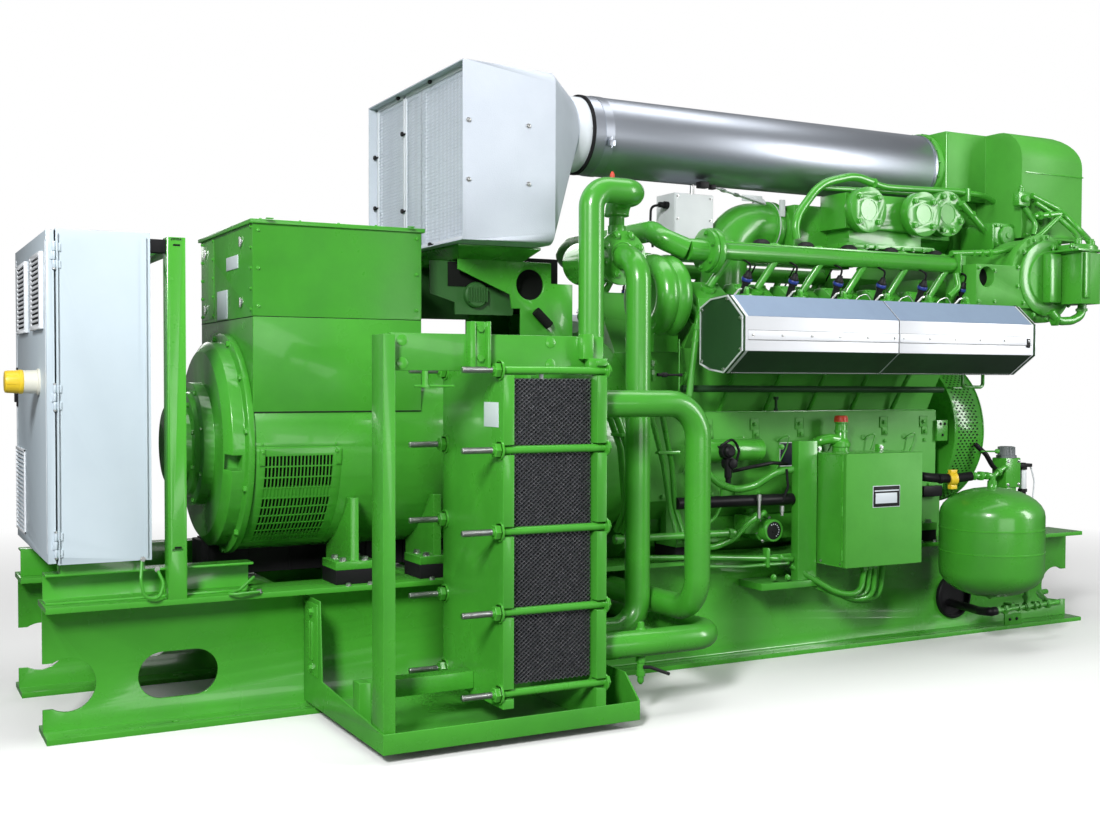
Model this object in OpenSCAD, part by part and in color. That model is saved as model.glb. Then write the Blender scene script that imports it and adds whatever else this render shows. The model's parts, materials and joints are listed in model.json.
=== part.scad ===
// Gas generator set: a twelve-cylinder gas engine and its generator on one steel base frame,
// with the control cabinet at one end and a plate heat exchanger on the near side.
// X runs along the base from the control cabinet to the free end of the engine, Y runs from the
// heat exchanger side to the other side, and Z runs up. The origin is on the floor, at the centre of the base.

/* [Base frame] */
// Length of the two base beams
base_l = 4600; // [4200:10:5600]
// Width over the two base beams
base_w = 880; // [800:10:1100]
// Height of the base beams
beam_h = 424; // [380:2:460]
// Width of a beam's flanges
flange_w = 200; // [160:2:240]
// Thickness of a beam's flanges
flange_t = 18; // [12:1:24]
// Thickness of a beam's web
web_t = 12; // [8:1:16]
// Radius of the lifting notch in each end of a web
notch_r = 86; // [60:1:95]
// Radius of the anchor holes in the bottom flanges
anchor_r = 13; // [9:1:18]
// Distance between the anchor holes along the base
anchor_x = 3800; // [3000:10:4000]

/* [Control cabinet] */
// Depth of the cabinet body
cab_d = 282; // [220:2:320]
// Width of the cabinet
cab_w = 860; // [700:2:900]
// Height of the cabinet
cab_h = 1035; // [800:5:1200]
// Thickness of the cabinet's sheet walls
cab_wall = 4; // [2:0.5:8]
// Thickness of the cabinet door
door_t = 23; // [18:1:40]
// Gap between the door and the cabinet
door_gap = 5; // [5:0.5:8]
// Height of the rails that carry the cabinet
rail_h = 96; // [80:1:120]
// Length of the rails that carry the cabinet
rail_l = 654; // [600:2:700]

/* [Generator] */
// Height of the shaft above the floor
shaft_h = 900; // [860:5:950]
// Radius of the generator barrel
gen_r = 380; // [330:2:400]
// Length of the generator barrel
gen_l = 760; // [640:5:900]
// Length of the terminal box
tbox_l = 605; // [500:5:640]
// Height of the terminal box above the shaft
tbox_h = 764; // [650:2:820]

/* [Engine] */
// Number of cylinders in a bank
bank_n = 6; // [4:1:6]
// Distance between cylinders
pitch = 233; // [200:1:240]
// Angle of a bank from upright
bank_a = 35; // [30:1:38]
// Distance from the shaft to the head faces
deck_d = 520; // [480:2:560]
// Width of the crankcase
case_w = 640; // [560:2:700]

/* [Air intake] */
// Radius of the intake duct
duct_r = 160; // [120:2:180]
// Height of the duct above the shaft
duct_h = 1230; // [1190:5:1300]
// Width of the air filter hood
hood_w = 950; // [800:5:1000]
// Height of the air filter hood
hood_h = 630; // [560:5:700]

/* [Plate heat exchanger] */
// Width of the plates
hx_w = 463; // [400:1:520]
// Height of the fixed frame plate
hx_h = 1133; // [1000:1:1250]
// Length of the plate pack
pack_l = 293; // [200:1:400]
// Outer diameter of the water pipes
pipe_d = 89; // [76:1:102]

/* [Expansion tank] */
// Radius of the expansion tank
tank_r = 215; // [180:1:230]
// Height of the expansion tank
tank_h = 466; // [420:2:520]

/* [Hidden] */

$fn = 48;
green = "#52a845";
dark_green = "#2f6b2f";
black = "#202322";
steel = "#b9bdc2";
pale = "#c8d6e0";

end_x = -base_l / 2;
near_y = -base_w / 2;
// clearance between two sloping faces that are bolted together
joint_gap = 0.05;

function unit(v) = v / norm(v);
// distance from the cabinet end of the base, and from its near edge
function fx(d) = end_x + d;
function fy(d) = near_y + d;
// points of a round stretch
function arc(c, r, a0, a1, n) = [for (i = [0 : n]) let (a = a0 + (a1 - a0) * i / n) c + r * [cos(a), sin(a)]];

module both_sides() {
  children();
  mirror([0, 1, 0]) children();
}

// turns a shape that stands along Z onto direction d, with its foot at p
module along(p, d) {
  u = unit(d);
  translate(p) rotate([0, acos(u[2]), atan2(u[1], u[0])]) children();
}

// a box given by its low and high corners
module span(a, b) {
  translate(a) cube(b - a);
}

// a flat plate in the XZ plane: 2D shape drawn as (x, z), from y0 to y0 + t
module plate_xz(y0, t) {
  translate([0, y0 + t, 0]) rotate([90, 0, 0]) linear_extrude(t) children();
}

// a profile drawn as (y, z), from x0 to x0 + l
module profile_yz(x0, l) {
  translate([x0, 0, 0]) rotate([90, 0, 90]) linear_extrude(l) children();
}

// a bent pipe through points, with every bend at radius r
module pipe_run(pts, d, r) {
  n = len(pts);
  dirs = [for (i = [0 : n - 2]) unit(pts[i + 1] - pts[i])];
  trims = [for (i = [0 : n - 1]) (i == 0 || i == n - 1) ? 0 : r * tan(acos(dirs[i - 1] * dirs[i]) / 2)];
  for (i = [0 : n - 2]) {
    a = pts[i] + dirs[i] * trims[i];
    b = pts[i + 1] - dirs[i] * trims[i + 1];
    along(a, dirs[i]) cylinder(d = d, h = norm(b - a));
  }
  for (i = [1 : n - 2]) {
    side = unit(cross(dirs[i - 1], dirs[i]));
    inward = cross(side, dirs[i - 1]);
    start = pts[i] - dirs[i - 1] * trims[i] + inward * r;
    ahead = dirs[i - 1];
    multmatrix([[-inward[0], ahead[0], side[0], start[0]],
                [-inward[1], ahead[1], side[1], start[1]],
                [-inward[2], ahead[2], side[2], start[2]],
                [0, 0, 0, 1]])
      rotate_extrude(angle = acos(dirs[i - 1] * dirs[i])) translate([r, 0]) circle(d = d);
  }
}

// ---- base frame ----
web_mid = flange_w / 2;
notch_z = 162;
notch_mouth = 146;
notch_in = 75;
slot_hole_x = 420;
slot_hole_l = 258;
slot_hole_h = 152;
hose_hole_x = 3866;
hose_hole_r = 100;
pipe_hole_x = 2085;
pipe_hole_l = 310;
pipe_hole_z = 297;
pipe_hole_h = 210;

module notch() {
  translate([notch_in, notch_z]) circle(notch_r);
  translate([-1, notch_z - notch_mouth / 2]) square([notch_in + 1, notch_mouth]);
}

module slot_hole(x, z, l, h) {
  for (s = [-1, 1]) translate([x + s * (l - h) / 2, z]) circle(d = h);
  translate([x - (l - h) / 2, z - h / 2]) square([l - h, h]);
}

module beam(y_edge, pipes_pass) {
  difference() {
    union() {
      plate_xz(y_edge + web_mid - web_t / 2, web_t)
        difference() {
          translate([end_x, flange_t]) square([base_l, beam_h - 2 * flange_t]);
          translate([end_x, 0]) notch();
          translate([-end_x, 0]) mirror([1, 0]) notch();
          slot_hole(fx(slot_hole_x), 164, slot_hole_l, slot_hole_h);
          translate([fx(hose_hole_x), 160]) circle(hose_hole_r);
          if (pipes_pass) slot_hole(fx(pipe_hole_x), pipe_hole_z, pipe_hole_l, pipe_hole_h);
        }
      for (z = [0, beam_h - flange_t]) translate([end_x, y_edge, z]) cube([base_l, flange_w, flange_t]);
    }
    for (s = [-1, 1]) translate([s * anchor_x / 2, y_edge + (y_edge < 0 ? 1 : 3) * flange_w / 4, -1])
      cylinder(r = anchor_r, h = flange_t + 2);
  }
}

module base_beam_near() { color(green) beam(near_y, true); }
module base_beam_far() { color(green) beam(-near_y - flange_w, false); }

cross_x = [210, 760, 1330, 1820, 2420, 2950, 3640, 4380];
cross_w = 90;
cross_h = 200;

module base_cross_members() {
  inner = near_y + web_mid + web_t / 2;
  color(green) for (x = cross_x)
    span([fx(x) - cross_w / 2, inner, beam_h - flange_t - cross_h], [fx(x) + cross_w / 2, -inner, beam_h - flange_t]);
}

// ---- control cabinet ----
rail_w = 75;
rail_t = 8;
plinth_h = 35;
cab_x0 = 38;
cab_z0 = beam_h + rail_h + plinth_h;
cab_y0 = -cab_w / 2;
post_x = 370;
post_l = 58;
post_w = 60;
post_h = 1157;

module rail() {
  y = near_y + post_w;
  z = beam_h;
  union() {
    span([fx(6), y + rail_w - rail_t, z], [fx(6) + rail_l, y + rail_w, z + rail_h]);
    span([fx(6), y, z], [fx(6) + rail_l, y + rail_w, z + rail_t]);
    span([fx(6), y, z + rail_h - rail_t], [fx(6) + rail_l, y + rail_w, z + rail_h]);
  }
}

module cabinet_rails() {
  color(green) both_sides() rail();
  color(black) both_sides()
    span([fx(cab_x0 + 12), near_y + post_w, beam_h + rail_h], [fx(cab_x0 + cab_d - 12), near_y + post_w + rail_w, cab_z0]);
}

module control_cabinet() {
  color(pale) {
    difference() {
      translate([fx(cab_x0), cab_y0, cab_z0]) cube([cab_d, cab_w, cab_h]);
      translate([fx(cab_x0) - 1, cab_y0 + cab_wall, cab_z0 + cab_wall])
        cube([cab_d - cab_wall + 1, cab_w - 2 * cab_wall, cab_h - 2 * cab_wall]);
    }
    for (z = hinge_z) for (s = [-1, 1]) hinge_fixed(z + s * hinge_l);
  }
}

// the hinge pin stands just outside the near edge of the door
hinge_l = 26;
hinge_r = 5;
pin_x = fx(cab_x0) - door_gap - 1;
pin_y = cab_y0 - 6;
hinge_z = [for (f = [0.06, 0.5, 0.92]) cab_z0 + f * cab_h];

module hinge_fixed(z) {
  union() {
    translate([pin_x, pin_y, z - hinge_l / 2 + 1]) cylinder(r = hinge_r, h = hinge_l - 2, $fn = 24);
    span([pin_x + 2, pin_y, z - hinge_l / 2 + 1], [fx(cab_x0) + 14, cab_y0, z + hinge_l / 2 - 1]);
  }
}

module hinge_moving(z) {
  translate([pin_x, pin_y, z - hinge_l / 2 + 0.5]) cylinder(r = hinge_r, h = hinge_l - 1, $fn = 24);
  span([pin_x - 10, pin_y, z - hinge_l / 2 + 0.5], [pin_x, cab_y0 + 1, z + hinge_l / 2 - 0.5]);
}

door_x0 = fx(cab_x0) - door_gap - door_t;
louvre_n = 18;
louvre_l = 240;
grille_w = 250;
grille_h = 240;
grille_t = 12;
grille_y = [195, 595];
grille_z = cab_z0 + 850;
slot_n = 14;

module cabinet_door() {
  color(pale) union() {
    difference() {
      translate([door_x0, cab_y0, cab_z0 + 5]) cube([door_t, cab_w, cab_h - 10]);
      for (i = [0 : louvre_n - 1]) translate([door_x0 - 1, -cab_y0 - louvre_l - 20, cab_z0 + 48 + i * 15]) cube([6, louvre_l, 7]);
    }
    for (z = hinge_z) hinge_moving(z);
  }
}

module cabinet_grilles() {
  color("white") for (y = grille_y)
    difference() {
      translate([door_x0 - grille_t, cab_y0 + y - grille_w / 2, grille_z - grille_h / 2])
        cube([grille_t, grille_w, grille_h]);
      for (i = [0 : slot_n - 1])
        translate([door_x0 - grille_t - 1, cab_y0 + y - grille_w / 2 + 25, grille_z - grille_h / 2 + 16 + i * (grille_h - 24) / slot_n])
          cube([9, grille_w - 50, 8]);
    }
}

switch_y = 190;
switch_z = 565;

module cabinet_switch() {
  along([door_x0, cab_y0 + switch_y, cab_z0 + switch_z], [-1, 0, 0]) {
    color(steel) cylinder(r = 22, h = 50);
    color("gold") translate([0, 0, 50]) cylinder(r = 36, h = 53);
  }
}

post_top = beam_h + post_h;
crossbar_h = 36;
buffer_h = 42;
buffer_w = 46;

module cabinet_posts() {
  color(green) both_sides() difference() {
    span([fx(post_x), near_y, beam_h], [fx(post_x) + post_l, near_y + post_w, beam_h + post_h]);
    for (z = [154, 1146]) translate([fx(post_x) + 12, near_y - 1, beam_h + z]) cube([post_l - 24, 12, 8]);
  }
}

module cabinet_crossbar() {
  color(green)
    span([fx(post_x), near_y + post_w, post_top - crossbar_h - 4], [fx(post_x) + post_l, -near_y - post_w, post_top - 4]);
}

module cabinet_buffers() {
  color(black) both_sides()
    span([fx(cab_x0) + cab_d, near_y + 12, post_top - buffer_h - 8], [fx(post_x), cab_y0 + buffer_w, post_top - 8]);
}

// ---- generator ----
gen_x0 = fx(665);
flange_r = gen_r + 12;
tbox_w = 2 * gen_r - 30;
tbox_seam = shaft_h + 440;
tbox_foot = shaft_h + 119;
lid_t = 14;
bell_r = gen_r - 18;
bell_l = 68;
hub_l = 150;

vent_x0 = gen_x0 + 35;
vent_l = 240;
vent_cols = 19;
vent_rows = 10;
vent_rib = 4.6;
vent_a0 = 4;
vent_row_a = 5.8;
vent_t = 3;
vent_edge = 30;
vent_well = 45;
latch_w = 18;
latch_t = 6;
latch_a0 = 0.5;
latch_a = 8.5;

// the part of a ring between two angles below the shaft's level, on the near side, in the plane across the shaft
module barrel_sector(r0, r1, a0, a1) {
  reach = 2 * r1;
  intersection() {
    difference() {
      translate([0, shaft_h]) circle(r1, $fn = 96);
      translate([0, shaft_h]) circle(r0, $fn = 96);
    }
    translate([0, shaft_h])
      polygon(concat([[0, 0]], [for (a = [a0, (a0 + a1) / 2, a1]) [-reach * cos(a), -reach * sin(a)]]));
  }
}

// a stretch of rows, counted from the top, between radii r0 and r1; extra widens it on all sides
module vent_patch(row0, row1, r0, r1, extra) {
  extra_a = extra / gen_r * 180 / PI;
  profile_yz(vent_x0 - extra, vent_l + 2 * extra)
    barrel_sector(r0, r1, vent_a0 + row0 * vent_row_a - extra_a, vent_a0 + row1 * vent_row_a + extra_a);
}

module generator_housing() {
  color(green) difference() {
    along([gen_x0, 0, shaft_h], [1, 0, 0]) cylinder(r = gen_r, h = gen_l, $fn = 96);
    both_sides() {
      vent_patch(0, vent_rows, gen_r - vent_t, gen_r + 1, vent_edge);
      vent_patch(0, 3, gen_r - vent_well, gen_r, 0);
      vent_patch(4, vent_rows - 1, gen_r - vent_well, gen_r, 0);
    }
  }
}

// slotted sheets let into both flanks of the barrel, each held by two latch plates
module generator_vents() {
  slot_l = vent_l / vent_cols;
  row_h = vent_row_a * PI / 180 * gen_r;
  color(green) both_sides() {
    difference() {
      vent_patch(0, vent_rows, gen_r - vent_t, gen_r, vent_edge);
      for (row = [0 : vent_rows - 1], col = [0 : vent_cols - 1])
        translate([vent_x0 + (col + 0.5) * slot_l, 0, shaft_h]) rotate([vent_a0 + (row + 0.5) * vent_row_a, 0, 0])
          translate([0, -gen_r, 0]) cube([slot_l - vent_rib, 6 * vent_t, row_h - vent_rib], center = true);
    }
    for (x = [vent_x0 - latch_w, vent_x0 + vent_l + latch_w / 2]) profile_yz(x, latch_w)
      barrel_sector(gen_r - 1, gen_r + latch_t, latch_a0, latch_a0 + latch_a);
  }
}

module generator_end_bell() {
  color(green) {
    difference() {
      translate([gen_x0, 0, shaft_h]) rotate([0, -90, 0]) rotate_extrude($fn = 96)
        polygon([[0, 0], [flange_r, 0], [flange_r, 22], [bell_r, 26], [bell_r, bell_l], [bell_r - 34, bell_l + 24],
                 [218, bell_l + 24], [218, bell_l + 62], [186, bell_l + 66], [182, hub_l], [0, hub_l]]);
      for (a = [8, 172]) translate([gen_x0 - bell_l + 2, 0, shaft_h]) rotate([a, 0, 0])
        translate([-22, -bell_r - 10, -26]) cube([52, 70, 52]);
    }
  }
  color(black) along([gen_x0 - hub_l, 0, shaft_h], [-1, 0, 0]) cylinder(r = 135, h = 60);
}

groove = 4;

// half of a box wall's outline, with a groove at height z
module box_outline(z0, z1, z) {
  difference() {
    translate([-tbox_w / 2, z0]) square([tbox_w, z1 - z0]);
    for (s = [-1, 1]) translate([s * tbox_w / 2 - groove / 2, z - groove / 2]) square([groove, groove]);
  }
}

module terminal_box() {
  color(green) profile_yz(gen_x0, tbox_l) difference() {
    translate([-tbox_w / 2, tbox_foot]) square([tbox_w, tbox_seam - tbox_foot]);
    translate([0, shaft_h]) circle(gen_r, $fn = 96);
  }
}

module terminal_box_hood() {
  color(green) union() {
    profile_yz(gen_x0, tbox_l) box_outline(tbox_seam, shaft_h + tbox_h - lid_t + 1, tbox_seam);
    span([gen_x0 - 10, -tbox_w / 2 - 10, shaft_h + tbox_h - lid_t], [gen_x0 + tbox_l + 10, tbox_w / 2 + 10, shaft_h + tbox_h]);
  }
}

gen_foot_x = [940, 1250];
gen_foot_l = 150;
pad_h = 50;

module generator_feet() {
  color(green) both_sides() for (x = gen_foot_x) difference() {
    union() {
      span([fx(x), near_y + 40, beam_h + pad_h], [fx(x) + gen_foot_l, near_y + 190, beam_h + pad_h + 28]);
      span([fx(x) + 60, near_y + 60, beam_h + pad_h], [fx(x) + 90, near_y + 330, shaft_h - 180]);
    }
    along([gen_x0 - 1, 0, shaft_h], [1, 0, 0]) cylinder(r = gen_r, h = gen_l + 2, $fn = 96);
  }
}

module mounting_pads() {
  color(black) both_sides() {
    for (x = gen_foot_x) span([fx(x), near_y + 40, beam_h], [fx(x) + gen_foot_l, near_y + 190, beam_h + pad_h]);
    for (x = engine_foot_x) span([fx(x), near_y + 40, beam_h], [fx(x) + gen_foot_l, near_y + 190, beam_h + pad_h]);
  }
}

// ---- engine ----
engine_x = fx(3050);
gear_l = 200;
case_x0 = engine_x - pitch * bank_n / 2 - gear_l;
case_x1 = engine_x + pitch * bank_n / 2 + 30;
case_y = case_w / 2;
engine_foot_x = [2330, 3560];
ledge_z = shaft_h + 100;
gear_top = shaft_h + 340;
fly_x0 = gen_x0 + gen_l;
fly_r = 405;

// a point at distance d along the near bank and w towards its outer side
function bank_pt(d, w) = [-d * sin(bank_a) - w * cos(bank_a), shaft_h + d * cos(bank_a) - w * sin(bank_a)];
function flip(pts) = [for (i = [len(pts) - 1 : -1 : 0]) [-pts[i][0], pts[i][1]]];

deck_w = 120;
case_z0 = shaft_h - 330;
half_case = [[-case_y + 70, case_z0], [-case_y, shaft_h - 250], [-case_y, ledge_z], [-case_y + 55, ledge_z],
             bank_pt(deck_d - 160, deck_w + 20), bank_pt(deck_d, deck_w), bank_pt(deck_d, -deck_w), bank_pt(deck_d - 200, -deck_w)];

module crankcase() {
  color(green) union() {
    difference() {
      profile_yz(case_x0, case_x1 - case_x0) polygon(concat(half_case, flip(half_case)));
      profile_yz(case_x0 - 1, gear_l - 1) polygon([[-1000, gear_top], [-1000, 2000], [1000, 2000], [1000, gear_top]]);
    }
    translate([mixture_x, 0, valley_z - 20]) cylinder(r = 112, h = boss_z1 - valley_z + 20);
    both_sides() for (x = engine_foot_x) {
      span([fx(x), -case_y - 85, beam_h + pad_h], [fx(x) + gen_foot_l, -case_y + 60, beam_h + pad_h + 30]);
      span([fx(x) + 20, -case_y + 20, beam_h + pad_h], [fx(x) + gen_foot_l - 20, -case_y + 60, shaft_h - 240]);
    }
  }
}

sump_z0 = beam_h - flange_t + 4;

module oil_sump() {
  color(green) profile_yz(case_x0 + 40, case_x1 - case_x0 - 80)
    polygon([[-170, sump_z0], [170, sump_z0], [240, sump_z0 + 50], [240, case_z0], [-240, case_z0], [-240, sump_z0 + 50]]);
}

module flywheel_housing() {
  color(green) translate([fly_x0, 0, shaft_h]) rotate([0, 90, 0]) rotate_extrude($fn = 96)
    polygon([[0, 0], [gen_r + 12, 0], [gen_r + 12, 30], [gen_r - 60, 60], [gen_r - 40, 250], [fly_r, 290],
             [fly_r, case_x0 - fly_x0], [0, case_x0 - fly_x0]]);
}

head_t = 140;
head_gap = 28;
head_l = pitch - head_gap;
cover_t = 56;

function cyl_x(i) = engine_x + (i - (bank_n - 1) / 2) * pitch;

module on_bank(i) {
  translate([cyl_x(i), 0, shaft_h]) rotate([bank_a, 0, 0]) children();
}

module head_block() {
  difference() {
    translate([-head_l / 2, -deck_w, deck_d + joint_gap]) cube([head_l, 2 * deck_w, head_t - joint_gap]);
    translate([-head_l / 2 - 1, -deck_w - 1, deck_d + head_t - 30]) cube([22, 60, 31]);
    translate([head_l / 2 - 21, -deck_w - 1, deck_d + head_t - 30]) cube([22, 60, 31]);
  }
}

module cylinder_heads() {
  color(green) both_sides() for (i = [0 : bank_n - 1]) on_bank(i) head_block();
}

module rocker_covers() {
  color(green) both_sides() for (i = [0 : bank_n - 1]) on_bank(i)
    translate([-head_l / 2 + 22, 0, deck_d + head_t]) rotate([90, 0, 90]) linear_extrude(head_l - 44)
      polygon([[-100, 0], [100, 0], [100, 26], [62, cover_t], [-62, cover_t], [-100, 26]]);
}

shield_y = 876;
shield_l = bank_n * pitch + 82;
shield_x0 = engine_x - shield_l / 2 - 12;
shield_top = shaft_h + 542;
// section of the exhaust heat shield, from its outer face inwards
shield_pts = [[-shield_y, shield_top - 205], [-shield_y, shield_top - 80], [-shield_y + 92, shield_top],
              [-shield_y + 200, shield_top - 8], [-shield_y + 268, shield_top - 38], [-shield_y + 268, shield_top - 251],
              [-shield_y + 205, shield_top - 274], [-shield_y + 115, shield_top - 285]];

module heat_shields() {
  color(steel) both_sides() for (i = [0, 1])
    profile_yz(shield_x0 + 12 + i * (shield_l - 24) / 2 + (i > 0 ? 1.5 : 0), (shield_l - 24) / 2 - 1.5) polygon(shield_pts);
}

module shield_end_caps() {
  color(dark_green) both_sides() for (x = [shield_x0, shield_x0 + shield_l - 12])
    profile_yz(x, 12) polygon(shield_pts);
}

port_z = [shaft_h + 390, shaft_h + 450];
// the sloping outer face of the heads at height z
function head_face_y(z) = let (a = bank_pt(deck_d, deck_w), b = bank_pt(deck_d + head_t, deck_w))
  a[0] + (b[0] - a[0]) * (z - a[1]) / (b[1] - a[1]);

module exhaust_ports() {
  color(dark_green) both_sides() for (i = [0 : bank_n - 1])
    profile_yz(cyl_x(i) - 45, 90)
      polygon([[268 - shield_y, port_z[0]], [268 - shield_y, port_z[1]], [head_face_y(port_z[1]), port_z[1]], [head_face_y(port_z[0]), port_z[0]]]);
}

rail_r = 34;
water_rail_y = 441;
water_rail_z = shaft_h + 740;

riser_lean = 98;
riser_flange_t = 16;
rail_x0 = cyl_x(0) - 8;

// pipe from a rocker cover up to the rail
module riser(i) {
  seat = bank_pt(deck_d + head_t + cover_t + riser_flange_t - 2, 0);
  foot = [cyl_x(i), seat[0], seat[1]];
  top = [cyl_x(i) + riser_lean, -water_rail_y, water_rail_z];
  along(foot, top - foot) cylinder(r = 15, h = norm(top - foot), $fn = 24);
  on_bank(i) translate([0, 0, deck_d + head_t + cover_t + joint_gap])
    cylinder(r = 30, h = riser_flange_t, $fn = 24);
}

module water_rails() {
  color(green) {
    both_sides() {
      along([rail_x0, -water_rail_y, water_rail_z], [1, 0, 0]) cylinder(r = rail_r, h = cyl_x(bank_n - 1) + 118 - rail_x0);
      along([rail_x0 - 10, -water_rail_y, water_rail_z], [1, 0, 0]) cylinder(r = 88, h = 26);
      along([rail_x0 - 30, -water_rail_y, water_rail_z], [1, 0, 0]) cylinder(r = 84, h = 18);
      along([rail_x0 - 110, -water_rail_y, water_rail_z], [1, 0, 0]) cylinder(r = 42, h = 80);
      for (i = [0 : bank_n - 1]) riser(i);
    }
  }
}

valley_z = bank_pt(deck_d - 200, -deck_w)[1];
boss_z1 = valley_z + 34;
mixture_x = case_x0 + 689;
mixture_z = shaft_h + 910;
plenum_w = 260;

module mixture_manifold() {
  color(green) {
    pipe_run([[mixture_x, 0, boss_z1], [mixture_x, 0, mixture_z], [cooler_neck_x, 0, mixture_z]], 200, 150);
    along([mixture_x + 216, 0, mixture_z], [1, 0, 0]) cylinder(r = 112, h = 36);
    span([engine_x + 70, -plenum_w / 2, mixture_z - 120], [engine_x + 510, plenum_w / 2, mixture_z + 90]);
  }
}

// coolant outlets on the near side of the mixture pipe: place, flange radius, bolt circle and bolts of each
outlet_x = [engine_x + 292, engine_x + 608, engine_x + 830];
outlet_y = [near_y + 80, near_y + 80, near_y + 160];
outlet_z = [shaft_h + 966, shaft_h + 966, shaft_h + 990];
outlet_r = [98, 98, 102];
outlet_pcd = [150, 150, 164];
outlet_bolts = [4, 4, 8];
outlet_bore = 41;
outlet_depth = 110;
outlet_t = 46;

module at_outlet(i) {
  translate([outlet_x[i], outlet_y[i], outlet_z[i]]) rotate([-90, 0, 0]) children();
}

module coolant_flange_block() {
  block_y = outlet_y[0] + 62;
  color(green) difference() {
    union() {
      for (i = [0 : 2]) at_outlet(i) {
        cylinder(r = outlet_r[i], h = outlet_t);
        cylinder(r = 62, h = outlet_depth + 30);
      }
      span([outlet_x[0] - 78, block_y, outlet_z[0] - 76], [outlet_x[1] + 70, -plenum_w / 2, outlet_z[0] + 76]);
      span([outlet_x[1], outlet_y[2] + 60, outlet_z[0] - 90], [outlet_x[2] + 66, -plenum_w / 2 + 25, outlet_z[2] + 66]);
      span([outlet_x[0] - 40, block_y + 20, mixture_z - 84], [outlet_x[1] + 60, -plenum_w / 2, outlet_z[0] - 70]);
      span([outlet_x[0] - 84, block_y - 16, mixture_z - 104], [outlet_x[1] + 104, -plenum_w / 2, mixture_z - 84]);
    }
    for (i = [0 : 2]) at_outlet(i) {
      translate([0, 0, -1]) cylinder(r = outlet_bore, h = outlet_depth + 1);
      for (k = [0 : outlet_bolts[i] - 1]) rotate(180 / outlet_bolts[i] + k * 360 / outlet_bolts[i])
        translate([outlet_pcd[i] / 2, 0, -1]) cylinder(r = 9, h = outlet_t + 1, $fn = 24);
    }
  }
}

// ---- air intake ----
duct_z = shaft_h + duct_h;
duct_x0 = fx(2100);
duct_x1 = fx(3940);
hood_x0 = fx(1381);
hood_x1 = fx(1750);
hood_z1 = duct_z + 124;
collar_x = fx(2020);

module intake_duct() {
  color(steel) along([duct_x0, 0, duct_z], [1, 0, 0]) cylinder(r = duct_r, h = duct_x1 - duct_x0, $fn = 96);
}

module rounded_slab(x, l, r, inset) {
  for (y = [-1, 1]) for (z = [0, 1])
    along([x, y * (hood_w / 2 - inset - r), z > 0 ? hood_z1 - inset - r : hood_z1 - hood_h + inset + r], [1, 0, 0])
      cylinder(r = r, h = l, $fn = 32);
}

module filter_hood() {
  color("gainsboro") {
    difference() {
      hull() {
        rounded_slab(hood_x1 - 60, 60, 50, 0);
        along([collar_x, 0, duct_z], [1, 0, 0]) cylinder(r = duct_r - 10, h = 10, $fn = 48);
        span([hood_x0, -hood_w / 2, hood_z1 - hood_h], [hood_x0 + 20, hood_w / 2, hood_z1]);
      }
      span([hood_x0 - 1, -hood_w / 2 + 4, hood_z1 - hood_h + 4], [panel_x + panel_t, hood_w / 2 - 4, hood_z1 - 4]);
    }
    along([collar_x + 10, 0, duct_z], [1, 0, 0]) cylinder(r = duct_r - 10, h = duct_x0 - collar_x - 10);
  }
}

panel_x = hood_x0 + 40;
panel_t = 50;

module filter_panels() {
  color("whitesmoke") for (s = [0, 1]) {
    y0 = s > 0 ? 6 : -hood_w / 2 + 4;
    y1 = s > 0 ? hood_w / 2 - 4 : -6;
    difference() {
      span([panel_x, y0, hood_z1 - hood_h + 4], [panel_x + panel_t, y1, hood_z1 - 4]);
      span([panel_x - 1, y0 + 25, hood_z1 - hood_h + 29], [panel_x + 12, y1 - 25, hood_z1 - 29]);
    }
  }
}

bracket_y = 255;
bracket_t = 10;
bracket_z = hood_z1 - hood_h - 46;
bracket_x1 = fx(1945);

module filter_support() {
  z1 = hood_z1 - hood_h;
  color(green) union() {
    hull() {
      span([fx(1425), -335, z1 - 8], [fx(1765), 335, z1]);
      span([fx(1461), -bracket_y - 5, bracket_z], [fx(1730), bracket_y + 5, bracket_z + 8]);
    }
    both_sides() plate_xz(-bracket_y, bracket_t) difference() {
      polygon([[fx(1461), bracket_z], [fx(1851), bracket_z], [fx(1851), bracket_z - 79], [bracket_x1, bracket_z - 79],
               [bracket_x1, bracket_z - 178], [fx(1684), bracket_z - 178], [fx(1676), bracket_z - 126], [fx(1461), bracket_z - 39]]);
      translate([fx(1760), bracket_z - 86]) circle(58);
    }
    difference() {
      union() {
        both_sides() span([fly_x0 + 295, -bracket_y, shaft_h + 60], [bracket_x1, -bracket_y + bracket_t, bracket_z - 170]);
        span([bracket_x1 - 26, -bracket_y, shaft_h + 60], [bracket_x1, bracket_y, bracket_z - 100]);
      }
      along([fly_x0, 0, shaft_h], [1, 0, 0]) cylinder(r = fly_r, h = gen_l + 200, $fn = 96);
    }
  }
}

// ---- free end of the engine ----
mixer_x0 = duct_x1 + 30;
mix_top = duct_z + duct_r;

module mixer_housing() {
  color(green) union() {
    along([duct_x1, 0, duct_z], [1, 0, 0]) cylinder(r = duct_r + 8, h = 30);
    span([mixer_x0, -170, mix_top - 315], [fx(4230), 170, mix_top]);
    intersection() {
      profile_yz(fx(4225), 400) polygon(concat([[-390, mix_top - 500], [390, mix_top - 500]], arc([250, mix_top - 140], 140, 0, 90, 8), arc([-250, mix_top - 140], 140, 90, 180, 8)));
      plate_xz(-400, 800) polygon(concat([[fx(4225), mix_top - 510], [fx(4625), mix_top - 510]], arc([fx(4465), mix_top - 160], 160, 0, 90, 8), [[fx(4225), mix_top]]));
    }
    span([fx(4625), -300, mix_top - 390], [fx(4665), -240, mix_top - 340]);
  }
}

cooler_x = case_x1 + 441;
cooler_z = shaft_h + 692;
cooler_r = 198;
cooler_half = 520;

cooler_neck_x = max(cooler_x - 146, mixer_x0);

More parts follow.
